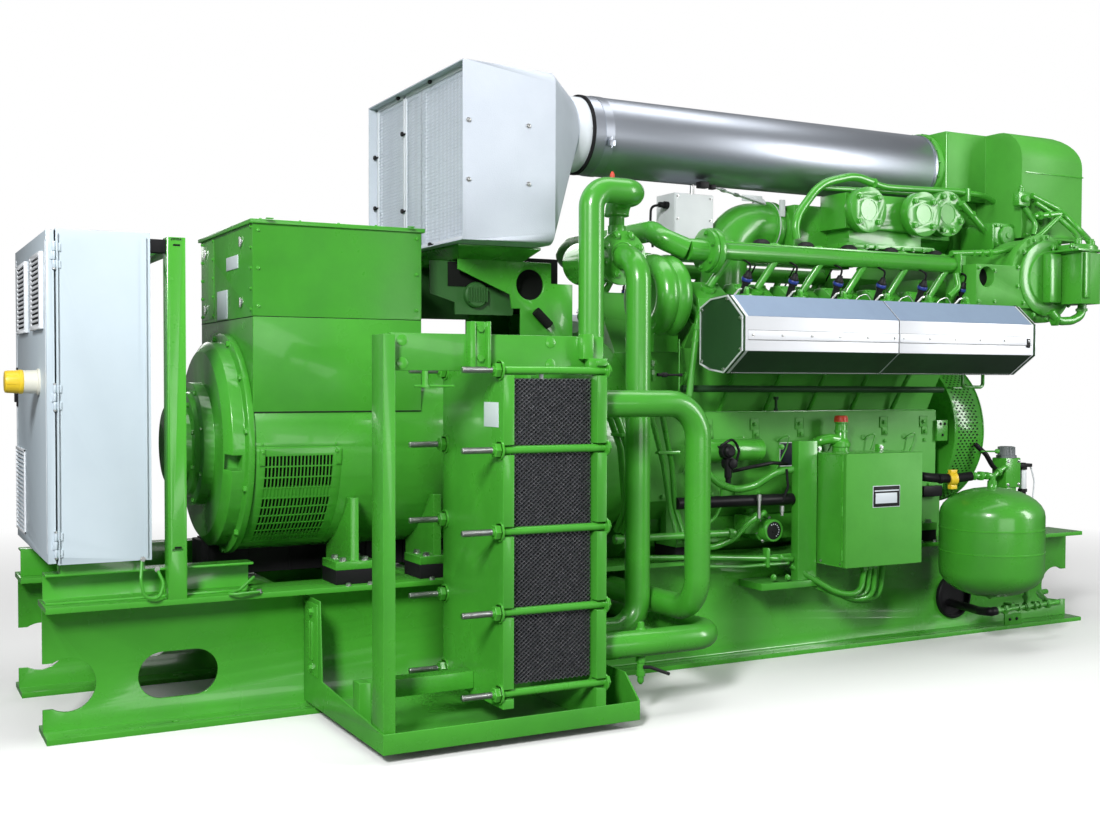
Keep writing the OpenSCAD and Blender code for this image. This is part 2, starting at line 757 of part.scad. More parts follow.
module intercooler() {
  color(green) union() {
    translate([cooler_x, 0, cooler_z]) rotate([90, 0, 0]) {
      cylinder(r = cooler_r - 14, h = 2 * cooler_half - 60, center = true, $fn = 72);
      for (s = [-1, 1]) translate([0, 0, s * (cooler_half - 15)]) cylinder(r = cooler_r, h = 30, center = true, $fn = 72);
    }
    both_sides() difference() {
      span([case_x1 + 10, -540, cooler_z - 136], [cooler_x, -360, cooler_z + 48]);
      translate([case_x1 + 73, -541, cooler_z - 6]) rotate([-90, 0, 0]) cylinder(r = 45, h = 60);
    }
    span([cooler_neck_x, -120, cooler_z], [cooler_x, 120, mix_top - 315]);
    span([case_x1, -200, shaft_h + 370], [case_x1 + 281, 200, cooler_z]);
  }
}

module breather_filter() {
  color(green) {
    span([cooler_x + 50, -690, cooler_z - 117], [cooler_x + 172, -540, cooler_z + 108]);
    translate([cooler_x + 111, -615, cooler_z + 108]) cylinder(r = 80, h = 26);
    span([cooler_x + 30, -545, cooler_z - 92], [cooler_x + 160, -520, cooler_z + 68]);
  }
}

turbo_x = case_x0 + 49;
turbo_y = -380;
turbo_z = gear_top + 216;

module turbocharger() {
  color(green) union() {
    along([turbo_x, turbo_y, turbo_z], [1, 0, 0]) cylinder(r = 108, h = 140);
    for (x = [26, 84]) translate([turbo_x + x, turbo_y, turbo_z]) rotate([0, 90, 0]) rotate_extrude() translate([118, 0]) circle(r = 46);
    span([turbo_x, turbo_y - 60, gear_top], [turbo_x + 110, turbo_y + 60, turbo_z]);
  }
}

thermo_x = fx(1932);
thermo_z = shaft_h + 670;
thermo_y = -650;
stub_y = thermo_y + 45;
loop_z = thermo_z + 220;

module thermostat_housing() {
  color(green) union() {
    translate([thermo_x, thermo_y, thermo_z]) rotate([-90, 0, 0]) cylinder(r = 97, h = 18);
    translate([thermo_x, thermo_y + 18, thermo_z]) rotate([-90, 0, 0]) cylinder(r = 80, h = 290);
    translate([thermo_x, stub_y, thermo_z]) cylinder(r = 34, h = 118);
  }
}

// ---- plate heat exchanger ----
hx_y0 = near_y - 665;
hx_x0 = fx(1234);
plate_t = 38;
frame_t = 36;
pack_x0 = hx_x0 + plate_t;
frame_x0 = pack_x0 + pack_l;
hx_z0 = 59;
bolt_z = [163, 414, 664, 915, 1160];
bolt_r = 12;
bolt_in = 20;
nozzle_in = 115;
nozzle_z = [252, 1052];

module bolt_slots(x, t) {
  for (z = bolt_z) for (y = [hx_y0 - 1, hx_y0 + hx_w - bolt_in - 15])
    translate([x - 1, y, z - 15]) cube([t + 2, bolt_in + 16, 30]);
}

bar_y = hx_y0 + 50;
bar_t = 12;
bar_z = 1157;
bar_h = 112;
bar_gap = 1;

module bar_notch(x, t) {
  translate([x - 1, bar_y - bar_gap, bar_z - bar_gap]) cube([t + 2, bar_t + 2 * bar_gap, bar_h]);
}

module hx_pressure_plate() {
  color(green) difference() {
    span([hx_x0, hx_y0, hx_z0 + 59], [hx_x0 + plate_t, hx_y0 + hx_w, hx_z0 + hx_h - 22]);
    bolt_slots(hx_x0, plate_t);
    bar_notch(hx_x0, plate_t);
  }
}

module hx_frame_plate() {
  color(green) difference() {
    span([frame_x0, hx_y0, 36], [frame_x0 + frame_t, hx_y0 + hx_w, hx_z0 + hx_h]);
    bolt_slots(frame_x0, frame_t);
    bar_notch(frame_x0, frame_t);
  }
}

module hx_plate_pack() {
  color("#55585c") span([pack_x0, hx_y0 + 45, 184], [frame_x0, hx_y0 + hx_w - 45, 1135]);
}

module hx_tie_bolts() {
  color(steel) for (z = bolt_z) for (y = [hx_y0 + bolt_in, hx_y0 + hx_w - bolt_in]) {
    along([hx_x0 - 130, y, z], [1, 0, 0]) cylinder(r = bolt_r, h = frame_x0 + frame_t - hx_x0 + 150, $fn = 24);
    along([hx_x0 - 26, y, z], [1, 0, 0]) cylinder(r = 22, h = 26, $fn = 6);
    along([frame_x0 + frame_t, y, z], [1, 0, 0]) cylinder(r = 22, h = 18, $fn = 6);
  }
}

tray_x0 = fx(842);
tray_x1 = fx(1724);
tray_y0 = hx_y0 - 8;
tray_z = 30;
tray_t = 6;
stand_z1 = 1263;
stand_t = 38;
stand_d = 97;

module hx_post() {
  color(green) {
    span([tray_x0 + 6, hx_y0 + 6, tray_z + tray_t], [tray_x0 + 6 + stand_t, hx_y0 + 6 + stand_d, stand_z1]);
    span([tray_x0 + 6, hx_y0 + 215, tray_z + tray_t], [tray_x0 + 6 + stand_t, hx_y0 + 275, 196]);
  }
}

module hx_guide_bars() {
  color(green) {
    span([tray_x0 + 6 + stand_t, bar_y, bar_z], [frame_x0 + frame_t + 14, bar_y + bar_t, bar_z + bar_h]);
    span([tray_x0 + 6 + stand_t, hx_y0 + 215, 140], [hx_x0, hx_y0 + 275, 196]);
  }
}

module tray_side(x, pts) {
  translate([x, 0, 0]) rotate([90, 0, 90]) linear_extrude(6) polygon(pts);
}

module drip_tray() {
  web_y = near_y + web_mid - web_t / 2;
  color(green) union() {
    span([tray_x0, tray_y0, tray_z], [tray_x1, near_y, tray_z + tray_t]);
    span([tray_x0, tray_y0, tray_z], [tray_x1, tray_y0 + tray_t, tray_z + 62]);
    tray_side(tray_x0, [[tray_y0, tray_z], [web_y, tray_z], [web_y, beam_h - 30], [near_y - 80, beam_h - 30],
                        [near_y - 100, 130], [tray_y0 + 20, 92], [tray_y0, 92]]);
    tray_side(tray_x1 - 6, [[tray_y0, tray_z], [web_y, tray_z], [web_y, 170], [tray_y0 + 90, 170], [tray_y0, 92]]);
  }
}

near_nozzle_y = hx_y0 + nozzle_in;
far_nozzle_y = hx_y0 + hx_w - nozzle_in;
nozzle_x = frame_x0 + frame_t;

module engine_water_pipes() {
  color(green) {
    pipe_run([[nozzle_x, far_nozzle_y, nozzle_z[1]], [fx(1740), far_nozzle_y, nozzle_z[1]], [fx(1740), far_nozzle_y, loop_z],
              [thermo_x, far_nozzle_y, loop_z], [thermo_x, stub_y, loop_z], [thermo_x, stub_y, loop_z - 68]], pipe_d, 66);
    translate([thermo_x, stub_y, thermo_z + 118]) cylinder(r = 28, h = loop_z - 68 - thermo_z - 118 + 1);
    pipe_run([[nozzle_x, far_nozzle_y, nozzle_z[0]], [thermo_x, far_nozzle_y, nozzle_z[0]], [thermo_x, far_nozzle_y, thermo_z],
              [thermo_x, thermo_y, thermo_z]], pipe_d, 98);
  }
}

module heating_water_pipes() {
  color(green) {
    pipe_run([[nozzle_x, near_nozzle_y, nozzle_z[1]], [fx(2028), near_nozzle_y, nozzle_z[1]], [fx(2028), near_nozzle_y, 340],
              [fx(2028), near_y + 200, 340]], pipe_d, 120);
    pipe_run([[nozzle_x, near_nozzle_y, nozzle_z[0]], [fx(2110), near_nozzle_y, nozzle_z[0]], [fx(2110), near_y + 200, nozzle_z[0]]], pipe_d, 100);
  }
}

// ---- electrical box, tank and small units ----
jb_x0 = fx(2976);
jb_w = 400;
jb_h = 454;
jb_d = 215;
jb_z0 = 382;
jb_back = near_y;
lid_d = 18;

module junction_box() {
  color(green) span([jb_x0, jb_back - jb_d + lid_d, jb_z0], [jb_x0 + jb_w, jb_back, jb_z0 + jb_h]);
}

module junction_box_lid() {
  color(green) span([jb_x0 - 2, jb_back - jb_d, jb_z0 - 2], [jb_x0 + jb_w + 2, jb_back - jb_d + lid_d, jb_z0 + jb_h + 2]);
}

module junction_box_post() {
  color(green) union() {
    span([jb_x0 - 106, near_y - 45, 318], [jb_x0 - 10, near_y, 885]);
    span([jb_x0 - 300, near_y - 60, 290], [jb_x0 - 10, near_y + web_mid - web_t / 2, 318]);
    span([jb_x0 - 60, near_y, beam_h + 6], [jb_x0 + 380, near_y + 10, 800]);
  }
}

tank_x = fx(3750);
tank_y = near_y - 240;
tank_z0 = 215;

function dome(z, s) = [for (i = [0 : 8]) let (a = i * 90 / 8) [tank_r * cos(a), z + s * 118 * sin(a)]];

module expansion_tank() {
  color(green) union() {
    translate([tank_x, tank_y, 0]) rotate_extrude($fn = 72)
      polygon(concat([[0, tank_z0]], [for (i = [7 : -1 : 0]) dome(tank_z0 + 118, -1)[i]], dome(tank_z0 + tank_h - 118, 1)));
    translate([tank_x, tank_y, tank_z0 + tank_h - 5]) cylinder(r = 20, h = 17);
    span([tank_x - 50, tank_y + tank_r - 12, beam_h - 14], [tank_x + 50, near_y, beam_h]);
  }
}

valve_z = 150;

module tank_pipework() {
  color(green) union() {
    translate([tank_x, tank_y, tank_z0 + tank_h + 12]) cylinder(r = 14, h = 40);
  }
  color(green) union() {
    along([fx(4000), near_y + 25, valve_z], [1, 0, 0]) cylinder(r = 16, h = 390);
    span([fx(4080), near_y + 5, flange_t], [fx(4150), near_y + 45, valve_z]);
  }
}

module damper_guard() {
  color(green) union() {
    difference() {
      along([fx(3870), 0, shaft_h], [1, 0, 0]) cylinder(r = 345, h = 180, $fn = 96);
      along([fx(3870) - 1, 0, shaft_h], [1, 0, 0]) cylinder(r = 339, h = 175, $fn = 96);
    }
    along([case_x1, 0, shaft_h], [1, 0, 0]) cylinder(r = 110, h = fx(4046) - case_x1);
  }
}

module starter_motor() {
  color(green) union() {
    along([fx(2450), -case_y - 60, shaft_h - 50], [1, 0, 0]) cylinder(r = 45, h = 300);
    span([fx(2500), -case_y - 60, shaft_h - 80], [fx(2700), -case_y, shaft_h - 20]);
  }
}

module oil_pump() {
  color(green) translate([fx(2785), -430, 520]) rotate([-90, 0, 0]) cylinder(r = 46, h = 190);
}

base_beam_near();
base_beam_far();
base_cross_members();
cabinet_rails();
cabinet_posts();
cabinet_crossbar();
cabinet_buffers();
control_cabinet();
cabinet_door();
cabinet_grilles();
cabinet_switch();
generator_housing();
generator_vents();
generator_end_bell();
terminal_box();
terminal_box_hood();
generator_feet();
mounting_pads();
flywheel_housing();
crankcase();
oil_sump();
cylinder_heads();
rocker_covers();
heat_shields();
shield_end_caps();
exhaust_ports();
water_rails();
mixture_manifold();
coolant_flange_block();
intake_duct();
filter_hood();
filter_panels();
filter_support();
mixer_housing();
intercooler();
breather_filter();
turbocharger();
thermostat_housing();
hx_pressure_plate();
hx_plate_pack();
hx_frame_plate();
hx_tie_bolts();
hx_post();
hx_guide_bars();
drip_tray();
engine_water_pipes();
heating_water_pipes();
junction_box();
junction_box_lid();
junction_box_post();
expansion_tank();
tank_pipework();
damper_guard();
starter_motor();
oil_pump();
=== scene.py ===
# Gas generator set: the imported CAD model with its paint, sheet metal, hoses, wiring and small fittings.
import json
import math

import bmesh
import bpy
from mathutils import Matrix, Vector
from mathutils.bvhtree import BVHTree


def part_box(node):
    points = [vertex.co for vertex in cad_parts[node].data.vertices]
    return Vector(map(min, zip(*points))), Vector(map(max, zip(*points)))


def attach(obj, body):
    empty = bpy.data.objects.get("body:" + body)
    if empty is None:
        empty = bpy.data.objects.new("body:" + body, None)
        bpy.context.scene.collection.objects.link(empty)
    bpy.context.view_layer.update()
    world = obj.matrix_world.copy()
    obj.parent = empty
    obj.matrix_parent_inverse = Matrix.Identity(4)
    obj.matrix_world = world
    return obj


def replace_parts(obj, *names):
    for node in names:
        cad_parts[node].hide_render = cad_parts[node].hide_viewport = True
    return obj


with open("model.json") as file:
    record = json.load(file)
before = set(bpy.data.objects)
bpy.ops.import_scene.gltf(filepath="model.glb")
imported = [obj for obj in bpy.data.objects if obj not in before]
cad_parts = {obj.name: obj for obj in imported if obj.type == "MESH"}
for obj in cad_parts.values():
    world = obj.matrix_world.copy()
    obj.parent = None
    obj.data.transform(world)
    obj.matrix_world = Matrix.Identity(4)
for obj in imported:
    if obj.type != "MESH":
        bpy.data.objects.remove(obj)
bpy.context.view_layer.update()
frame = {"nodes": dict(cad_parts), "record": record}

# ---- view ----
# The camera stands off the control-cabinet corner at chest height and looks along the heat-exchanger side,
# with a long normal lens, so that the whole set is seen from the near left.
EYE = Vector((-2.803, -4.667, 1.128))
TURN, TILT, ROLL = (math.radians(a) for a in (28.044, -1.646, 0.149))
eye = bpy.data.objects.new("eye", bpy.data.cameras.new("eye"))
eye.data.lens = 42.58
eye.data.clip_start, eye.data.clip_end = 0.1, 200
eye.matrix_world = (Matrix.Translation(EYE) @ Matrix.Rotation(-TURN, 4, "Z")
                    @ Matrix.Rotation(math.pi / 2 + TILT, 4, "X") @ Matrix.Rotation(ROLL, 4, "Z"))
bpy.context.scene.collection.objects.link(eye)
bpy.context.scene.camera = eye
bpy.context.scene.view_settings.view_transform = "Standard"

# ---- studio ----
# A pale floor with soft boxes at both sides and overhead; everything beyond the floor is a white sweep,
# which glossy paint and bare metal also see.


def builder(tree):
    """Two helpers for a node tree: put adds a node and fills its inputs, calc adds a sum."""
    def put(kind, filled=(), **fields):
        node = tree.nodes.new(kind)
        for field, value in fields.items():
            setattr(node, field, value)
        for place, values in dict(filled).items():
            for value in values if isinstance(values, list) else [values]:
                if isinstance(value, bpy.types.Node):
                    value = value.outputs[0]
                if isinstance(value, bpy.types.NodeSocket):
                    tree.links.new(value, node.inputs[place])
                else:
                    node.inputs[place].default_value = value
        return node

    def calc(operation, *values):
        return put("ShaderNodeMath", enumerate(values), operation=operation)
    return put, calc


def emptied(thing):
    """The bare node tree of a new material or world."""
    thing.use_nodes = True
    thing.node_tree.nodes.clear()
    return thing.node_tree


SEEN_WHITE, LIGHTING = 1.0, 0.03
GLOSSY_SHARE = 0.2
world = bpy.data.worlds.new("sweep")
bpy.context.scene.world = world
put, calc = builder(emptied(world))
ray = put("ShaderNodeLightPath").outputs
seen = calc("MAXIMUM", calc("MAXIMUM", ray["Is Camera Ray"], ray["Is Transmission Ray"]),
            calc("MULTIPLY", ray["Is Glossy Ray"], GLOSSY_SHARE))
level = put("ShaderNodeMapRange", {"Value": seen, "To Min": LIGHTING, "To Max": SEEN_WHITE})
sky = put("ShaderNodeBackground", {"Color": (1, 1, 1, 1), "Strength": level})
put("ShaderNodeOutputWorld", {"Surface": sky})

floor_mesh = bpy.data.meshes.new("floor")
floor_mesh.from_pydata([(-30, -30, 0), (30, -30, 0), (30, 30, 0), (-30, 30, 0)], [], [(0, 1, 2, 3)])
floor = bpy.data.objects.new("floor", floor_mesh)
bpy.context.scene.collection.objects.link(floor)
paper = bpy.data.materials.new("paper")
put, calc = builder(emptied(paper))
spread_out = put("ShaderNodeVectorMath", {0: put("ShaderNodeTexCoord").outputs["Object"]}, operation="LENGTH")
fade = put("ShaderNodeMapRange", {"Value": spread_out.outputs["Value"], "From Min": 2.6, "From Max": 6.0})
seen = put("ShaderNodeLightPath").outputs["Is Camera Ray"]
shade = put("ShaderNodeMix", {0: seen, 6: (0.16, 0.16, 0.16, 1), 7: (0.9, 0.9, 0.9, 1)}, data_type="RGBA")
matt = put("ShaderNodeBsdfDiffuse", {"Color": shade.outputs[2]})
blend = put("ShaderNodeMixShader", {0: calc("MULTIPLY", fade, seen), 1: matt, 2: put("ShaderNodeEmission")})
put("ShaderNodeOutputMaterial", {"Surface": blend})
floor.data.materials.append(paper)

# each soft box: where it stands, what it faces, its two sides, its watts
for name, at, towards, size, watts in (
        ("key", (-4.6, -5.2, 3.9), (-0.2, 0, 0.9), (0.9, 1.5), 520),
        ("side", (4.9, -5.0, 2.7), (0.7, 0, 1.1), (1.5, 3.4), 240),
        ("top", (0, -0.9, 6.2), (0, 0, 0), (6.4, 2.2), 180),
        ("end", (-8.0, -1.2, 3.0), (-1.2, 0, 1.3), (1.8, 3.0), 60),
        ("front", (-0.6, -8.0, 1.0), (0.6, 0, 0.8), (4.5, 1.2), 60),
        ("back", (1.0, 7.0, 3.6), (0, 0, 1.2), (6.0, 2.5), 190)):
    lamp = bpy.data.lights.new(name, "AREA")
    lamp.shape = "RECTANGLE"
    lamp.size, lamp.size_y = size
    lamp.energy = watts
    box = bpy.data.objects.new(name, lamp)
    box.location = at
    box.rotation_mode = "QUATERNION"
    box.rotation_quaternion = (Vector(towards) - Vector(at)).to_track_quat("-Z", "Y")
    bpy.context.scene.collection.objects.link(box)

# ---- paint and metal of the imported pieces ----
# Green gloss enamel covers the frame and machine, castings are duller, the cabinet is powder coated. All
# share faint blotches, a fine skin, and dust on what faces up; each finish mixes them in its own measure.
SKIN = bpy.data.node_groups.new("surface_skin", "ShaderNodeTree")
for name, start in (("Blotch Scale", 3.0), ("Grain Scale", 160.0)):
    SKIN.interface.new_socket(name, in_out="INPUT", socket_type="NodeSocketFloat").default_value = start
for name in ("Blotch", "Grain", "Dust"):
    SKIN.interface.new_socket(name, in_out="OUTPUT", socket_type="NodeSocketFloat")
put, calc = builder(SKIN)
given = put("NodeGroupInput").outputs
on_object = put("ShaderNodeTexCoord").outputs["Object"]
blotch = put("ShaderNodeTexNoise",
             {"Vector": on_object, "Scale": given["Blotch Scale"], "Detail": 5, "Roughness": 0.62})
grain = put("ShaderNodeTexNoise", {"Vector": on_object, "Scale": given["Grain Scale"], "Detail": 2})
sharper = put("ShaderNodeMapRange", {"Value": blotch.outputs["Fac"], "From Min": 0.3, "From Max": 0.7})
facing = put("ShaderNodeSeparateXYZ", {0: put("ShaderNodeNewGeometry").outputs["Normal"]})
lying = put("ShaderNodeMapRange", {"Value": facing.outputs["Z"], "From Min": 0.75, "From Max": 0.99})
put("NodeGroupOutput", {"Blotch": sharper, "Grain": grain.outputs["Fac"],
                        "Dust": calc("MULTIPLY", lying, sharper)})


SLOT = {}


def finish(name, colour, dark, rough, rough_to, grain_scale=160.0, blotch_scale=3.0, skin=0.05, dust=0.1,
           metal=0.0, dust_colour=(0.42, 0.46, 0.4), coat=0.0, slot=None):
    """A material: two shades of one colour in blotches, dust on top faces, and a fine skin as bump.

    slot is the record's slot noted with this finish; pieces made in it are not given it."""
    material = bpy.data.materials.new(name)
    SLOT[name] = slot
    put, calc = builder(emptied(material))
    scales = {"Blotch Scale": blotch_scale, "Grain Scale": grain_scale}
    face = put("ShaderNodeGroup", scales, node_tree=SKIN).outputs
    shades = put("ShaderNodeMix", {0: face["Blotch"], 6: (*colour, 1), 7: (*dark, 1)}, data_type="RGBA")
    dusted = put("ShaderNodeMix", {0: calc("MULTIPLY", face["Dust"], dust), 6: shades.outputs[2],
                                   7: (*dust_colour, 1)}, data_type="RGBA")
    gloss = put("ShaderNodeMapRange", {"Value": face["Blotch"], "To Min": rough, "To Max": rough_to})
    bump = put("ShaderNodeBump", {"Strength": skin, "Distance": 0.002, "Height": face["Grain"]})
    shader = put("ShaderNodeBsdfPrincipled",
                 {"Base Color": dusted.outputs[2], "Roughness": gloss, "Metallic": metal, "Normal": bump,
                  "Specular IOR Level": 0.5 if max(colour) > 0.1
                  else 0.14, "Coat Weight": coat, "Coat Roughness": 0.08})
    put("ShaderNodeOutputMaterial", {"Surface": shader})
    return material


def rounded(node, width=0.002, angle=32):
    """Welds a CAD node's loose triangles and rounds its edges a little, as paint and castings are."""
    weld = node.modifiers.new("weld", "WELD")
    weld.merge_threshold = 0.00004
    flat = node.modifiers.new("flat", "DECIMATE")
    flat.decimate_type = "DISSOLVE"
    flat.angle_limit = math.radians(0.4)
    edge = node.modifiers.new("edge", "BEVEL")
    edge.limit_method = "ANGLE"
    edge.angle_limit = math.radians(angle)
    edge.width = width
    edge.segments = 2
    edge.harden_normals = True
    for polygon in node.data.polygons:
        polygon.use_smooth = True


enamel = finish("green_enamel", (0.066, 0.375, 0.03), (0.053, 0.315, 0.025), 0.2, 0.32, skin=0.02, dust=0.06,
                coat=0.35, slot="engine_green")
machine_green = finish("machine_green", (0.063, 0.355, 0.03), (0.044, 0.268, 0.022), 0.22, 0.38,
                       grain_scale=90, skin=0.1, dust=0.08, coat=0.3, slot="engine_green")
cast_green = finish("cast_green", (0.07, 0.365, 0.034), (0.055, 0.3, 0.027), 0.5, 0.62, grain_scale=70,
                    skin=0.14, dust=0.05, slot="engine_green")
cabinet_grey = finish("cabinet_powder", (0.5, 0.585, 0.64), (0.46, 0.545, 0.605), 0.32, 0.42, grain_scale=420,
                      skin=0.06, dust=0.05, dust_colour=(0.6, 0.62, 0.62), slot="cabinet_grey")
grille_white = finish("grille_plastic", (0.72, 0.75, 0.78), (0.66, 0.69, 0.72), 0.42, 0.55, skin=0.04,
                      dust=0.06, dust_colour=(0.5, 0.5, 0.48))
switch_yellow = finish("switch_yellow", (0.8, 0.58, 0.03), (0.7, 0.48, 0.02), 0.28, 0.4, skin=0.03, dust=0.04)
rubber = finish("buffer_rubber", (0.008, 0.008, 0.009), (0.014, 0.014, 0.015), 0.62, 0.8, skin=0.14,
                dust=0.05, dust_colour=(0.1, 0.1, 0.09), slot="black_rubber")
duct_steel = finish("duct_steel", (0.41, 0.44, 0.49), (0.37, 0.4, 0.45), 0.38, 0.44, grain_scale=300,
                    skin=0.01, dust=0.0, metal=1.0, slot="bare_steel")
hammered = finish("hammered_silver", (0.55, 0.6, 0.67), (0.49, 0.54, 0.61), 0.5, 0.6, grain_scale=240,
                  skin=0.35, dust=0.03)
panel_white = finish("panel_white", (0.62, 0.66, 0.7), (0.56, 0.6, 0.64), 0.4, 0.52, skin=0.05, dust=0.04,
                     slot="white_panel")
# Nearly black: on the plate pack it is painted shade in the gaps between the pressed plates.
plate_steel = finish("plate_steel", (0.03, 0.031, 0.033), (0.018, 0.019, 0.02), 0.5, 0.6, skin=0.1, dust=0.04,
                     metal=0.5)
PAINT = {"frame_green": enamel, "engine_green": machine_green, "cabinet_grey": cabinet_grey,
         "white_plastic": grille_white, "yellow_plastic": switch_yellow, "black_rubber": rubber,
         "bare_steel": duct_steel, "silver_paint": hammered, "white_panel": panel_white,
         "plate_steel": plate_steel}
PAINT |= dict.fromkeys(("mixer_housing", "crankcase", "cylinder_heads", "junction_box_lid", "intercooler"),
                       cast_green)
for part in frame["record"]["subparts"]:
    shown = frame["nodes"][part["node"]]
    shown.data.materials.clear()
    shown.data.materials.append(PAINT.get(part["node"], PAINT[part["material_slot"]]))
    rounded(shown)

# ---- control cabinet ----
# A folded-sheet cabinet in pale powder coat. The door hangs on three pins at the near edge, has two
# white air grilles with filter mats behind them, a quarter-turn lock and a yellow main-switch handle.


def hung(name, mesh, body, slot):
    """Puts a mesh in the scene as a piece that rides on a body. slot is not used."""
    made = bpy.data.objects.new(name, mesh)
    bpy.context.scene.collection.objects.link(made)
    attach(made, body)
    return made


def piece(name, shape, material, body="base", slot="own", crease=32):
    """One finished mesh: faces turned outwards, creases kept sharp, its material on, hung on a body."""
    bmesh.ops.remove_doubles(shape, verts=shape.verts, dist=0.000002)
    bmesh.ops.recalc_face_normals(shape, faces=shape.faces)
    mesh = bpy.data.meshes.new(name)
    shape.to_mesh(mesh)
    shape.free()
    mesh.materials.append(material)
    mesh.shade_smooth()
    mesh.set_sharp_from_angle(angle=math.radians(crease))
    return hung(name, mesh, body, SLOT[material.name] if slot == "own" else slot)


def block(shape, low, high, round_off=0.0015):
    """A box between two corners, with its edges rounded."""
    low, high = Vector(low), Vector(high)
    place = Matrix.Translation((low + high) / 2) @ Matrix.Diagonal((*(high - low), 1))
    made = bmesh.ops.create_cube(shape, size=1, matrix=place)
    if round_off:
        edges = list({e for v in made["verts"] for e in v.link_edges})
        bmesh.ops.bevel(shape, geom=edges, offset=round_off, segments=2, affect="EDGES", profile=0.6)


def turned(shape, foot, way, outline, sides=32):
    """A turned part: outline is (distance along way, radius) from the foot, closed at both ends."""
    turn = Vector(way).to_track_quat("Z", "Y").to_matrix().to_4x4()
    place = Matrix.Translation(foot) @ turn
    rings = []
    for along, radius in outline:
        if radius <= 0:
            rings.append([shape.verts.new(place @ Vector((0, 0, along)))])
        else:
            rings.append([shape.verts.new(place @ Vector((radius * math.cos(a), radius * math.sin(a), along)))
                          for a in (2 * math.pi * k / sides for k in range(sides))])
    for first, second in zip(rings, rings[1:]):
        for k in range(sides):
            a, b = (first[j % len(first)] for j in (k, k + 1))
            c, d = (second[j % len(second)] for j in (k + 1, k))
            corners = list(dict.fromkeys((a, b, c, d)))
            if len(corners) > 2:
                shape.faces.new(corners)
    for ring in (rings[0], rings[-1]):
        if len(ring) > 1:
            shape.faces.new(ring)


lock_black = finish("lock_black", (0.012, 0.012, 0.013), (0.02, 0.02, 0.021), 0.4, 0.55, skin=0.05, dust=0.03,
                    dust_colour=(0.12, 0.12, 0.12))
zinc = finish("zinc_plate", (0.6, 0.61, 0.6), (0.44, 0.45, 0.45), 0.26, 0.42, grain_scale=220,
              blotch_scale=30, skin=0.05, dust=0.03, metal=1.0, slot="bare_steel")
stem_white = finish("stem_plastic", (0.7, 0.7, 0.62), (0.62, 0.61, 0.52), 0.3, 0.42, skin=0.02, dust=0.03)
door_low, door_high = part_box("cabinet_door")
body_low, body_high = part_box("control_cabinet")
grille_low, grille_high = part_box("cabinet_grilles")

GRILLE_MIDDLES = (-0.235, 0.165)
mats = bmesh.new()
for middle in GRILLE_MIDDLES:
    block(mats, (grille_low.x + 0.0045, middle - 0.101, grille_low.z + 0.015),
          (grille_low.x + 0.0085, middle + 0.101, grille_high.z - 0.008), 0)
piece("grille_filter_mats", mats, rubber, body="door", slot=None)

face_x = grille_high.x
lips = bmesh.new()
for middle in GRILLE_MIDDLES:
    for y in (-1, 1):
        for z in (grille_low.z + 0.006, grille_high.z - 0.01):
            turned(lips, (grille_low.x, middle + y * 0.113, z), (-1, 0, 0),
                   [(-0.001, 0.0035), (0.001, 0.0035), (0.002, 0.002), (0.002, 0)], 12)
for k in range(18):
    z = body_low.z + 0.055 + k * 0.015
    block(lips, (face_x - 0.005, 0.178, z), (face_x + 0.001, 0.41, z + 0.004), 0.001)
for y in (0.164, 0.414):
    block(lips, (face_x - 0.005, y, body_low.z + 0.034),
          (face_x + 0.001, y + 0.009, body_low.z + 0.33), 0.001)
for z in (body_low.z + 0.034, body_low.z + 0.321):
    block(lips, (face_x - 0.005, 0.164, z), (face_x + 0.001, 0.423, z + 0.009), 0.001)
piece("grille_lips", lips, grille_white, body="door")

trim = bmesh.new()
trim_inset = 0.034
for y in (body_low.y + trim_inset, body_high.y - trim_inset):
    block(trim, (face_x - 0.0012, y - 0.004, door_low.z + 0.03),
          (face_x + 0.0008, y + 0.004, door_high.z - 0.03), 0.0004)
piece("door_trim", trim, panel_white, body="door", slot=None)

lock = bmesh.new()
LOCK_Y, LOCK_Z = 0.385, 1.1
turned(lock, (face_x, LOCK_Y, LOCK_Z), (-1, 0, 0),
       [(0, 0.013), (0.004, 0.013), (0.005, 0.01), (0.01, 0.009), (0.011, 0)], 20)
block(lock, (face_x - 0.004, LOCK_Y - 0.017, LOCK_Z - 0.07), (face_x, LOCK_Y + 0.017, LOCK_Z + 0.07), 0.0015)
block(lock, (face_x - 0.012, LOCK_Y - 0.008, LOCK_Z - 0.055),
      (face_x - 0.003, LOCK_Y + 0.008, LOCK_Z + 0.055), 0.003)
piece("door_lock", lock, lock_black, body="door")

switch_low, switch_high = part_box("cabinet_switch")
centre = (switch_low + switch_high) / 2
stem = bmesh.new()
turned(stem, (face_x, centre.y, centre.z), (-1, 0, 0),
       [(0, 0.042), (0.006, 0.042), (0.008, 0.0375), (0.049, 0.0365), (0.05, 0.03)], 40)
piece("switch_stem", stem, stem_white, body="door")
handle = bmesh.new()
turned(handle, (face_x - 0.048, centre.y, centre.z), (-1, 0, 0),
       [(0, 0.0365), (0.003, 0.0385), (0.012, 0.0385), (0.014, 0.037), (0.046, 0.0355), (0.0535, 0.034),
        (0.055, 0.031), (0.055, 0)], 48)
block(handle, (face_x - 0.1005, centre.y - 0.0375, centre.z - 0.009),
      (face_x - 0.055, centre.y + 0.0375, centre.z + 0.009), 0.004)
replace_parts(piece("switch_handle", handle, switch_yellow, body="door"), "cabinet_switch")

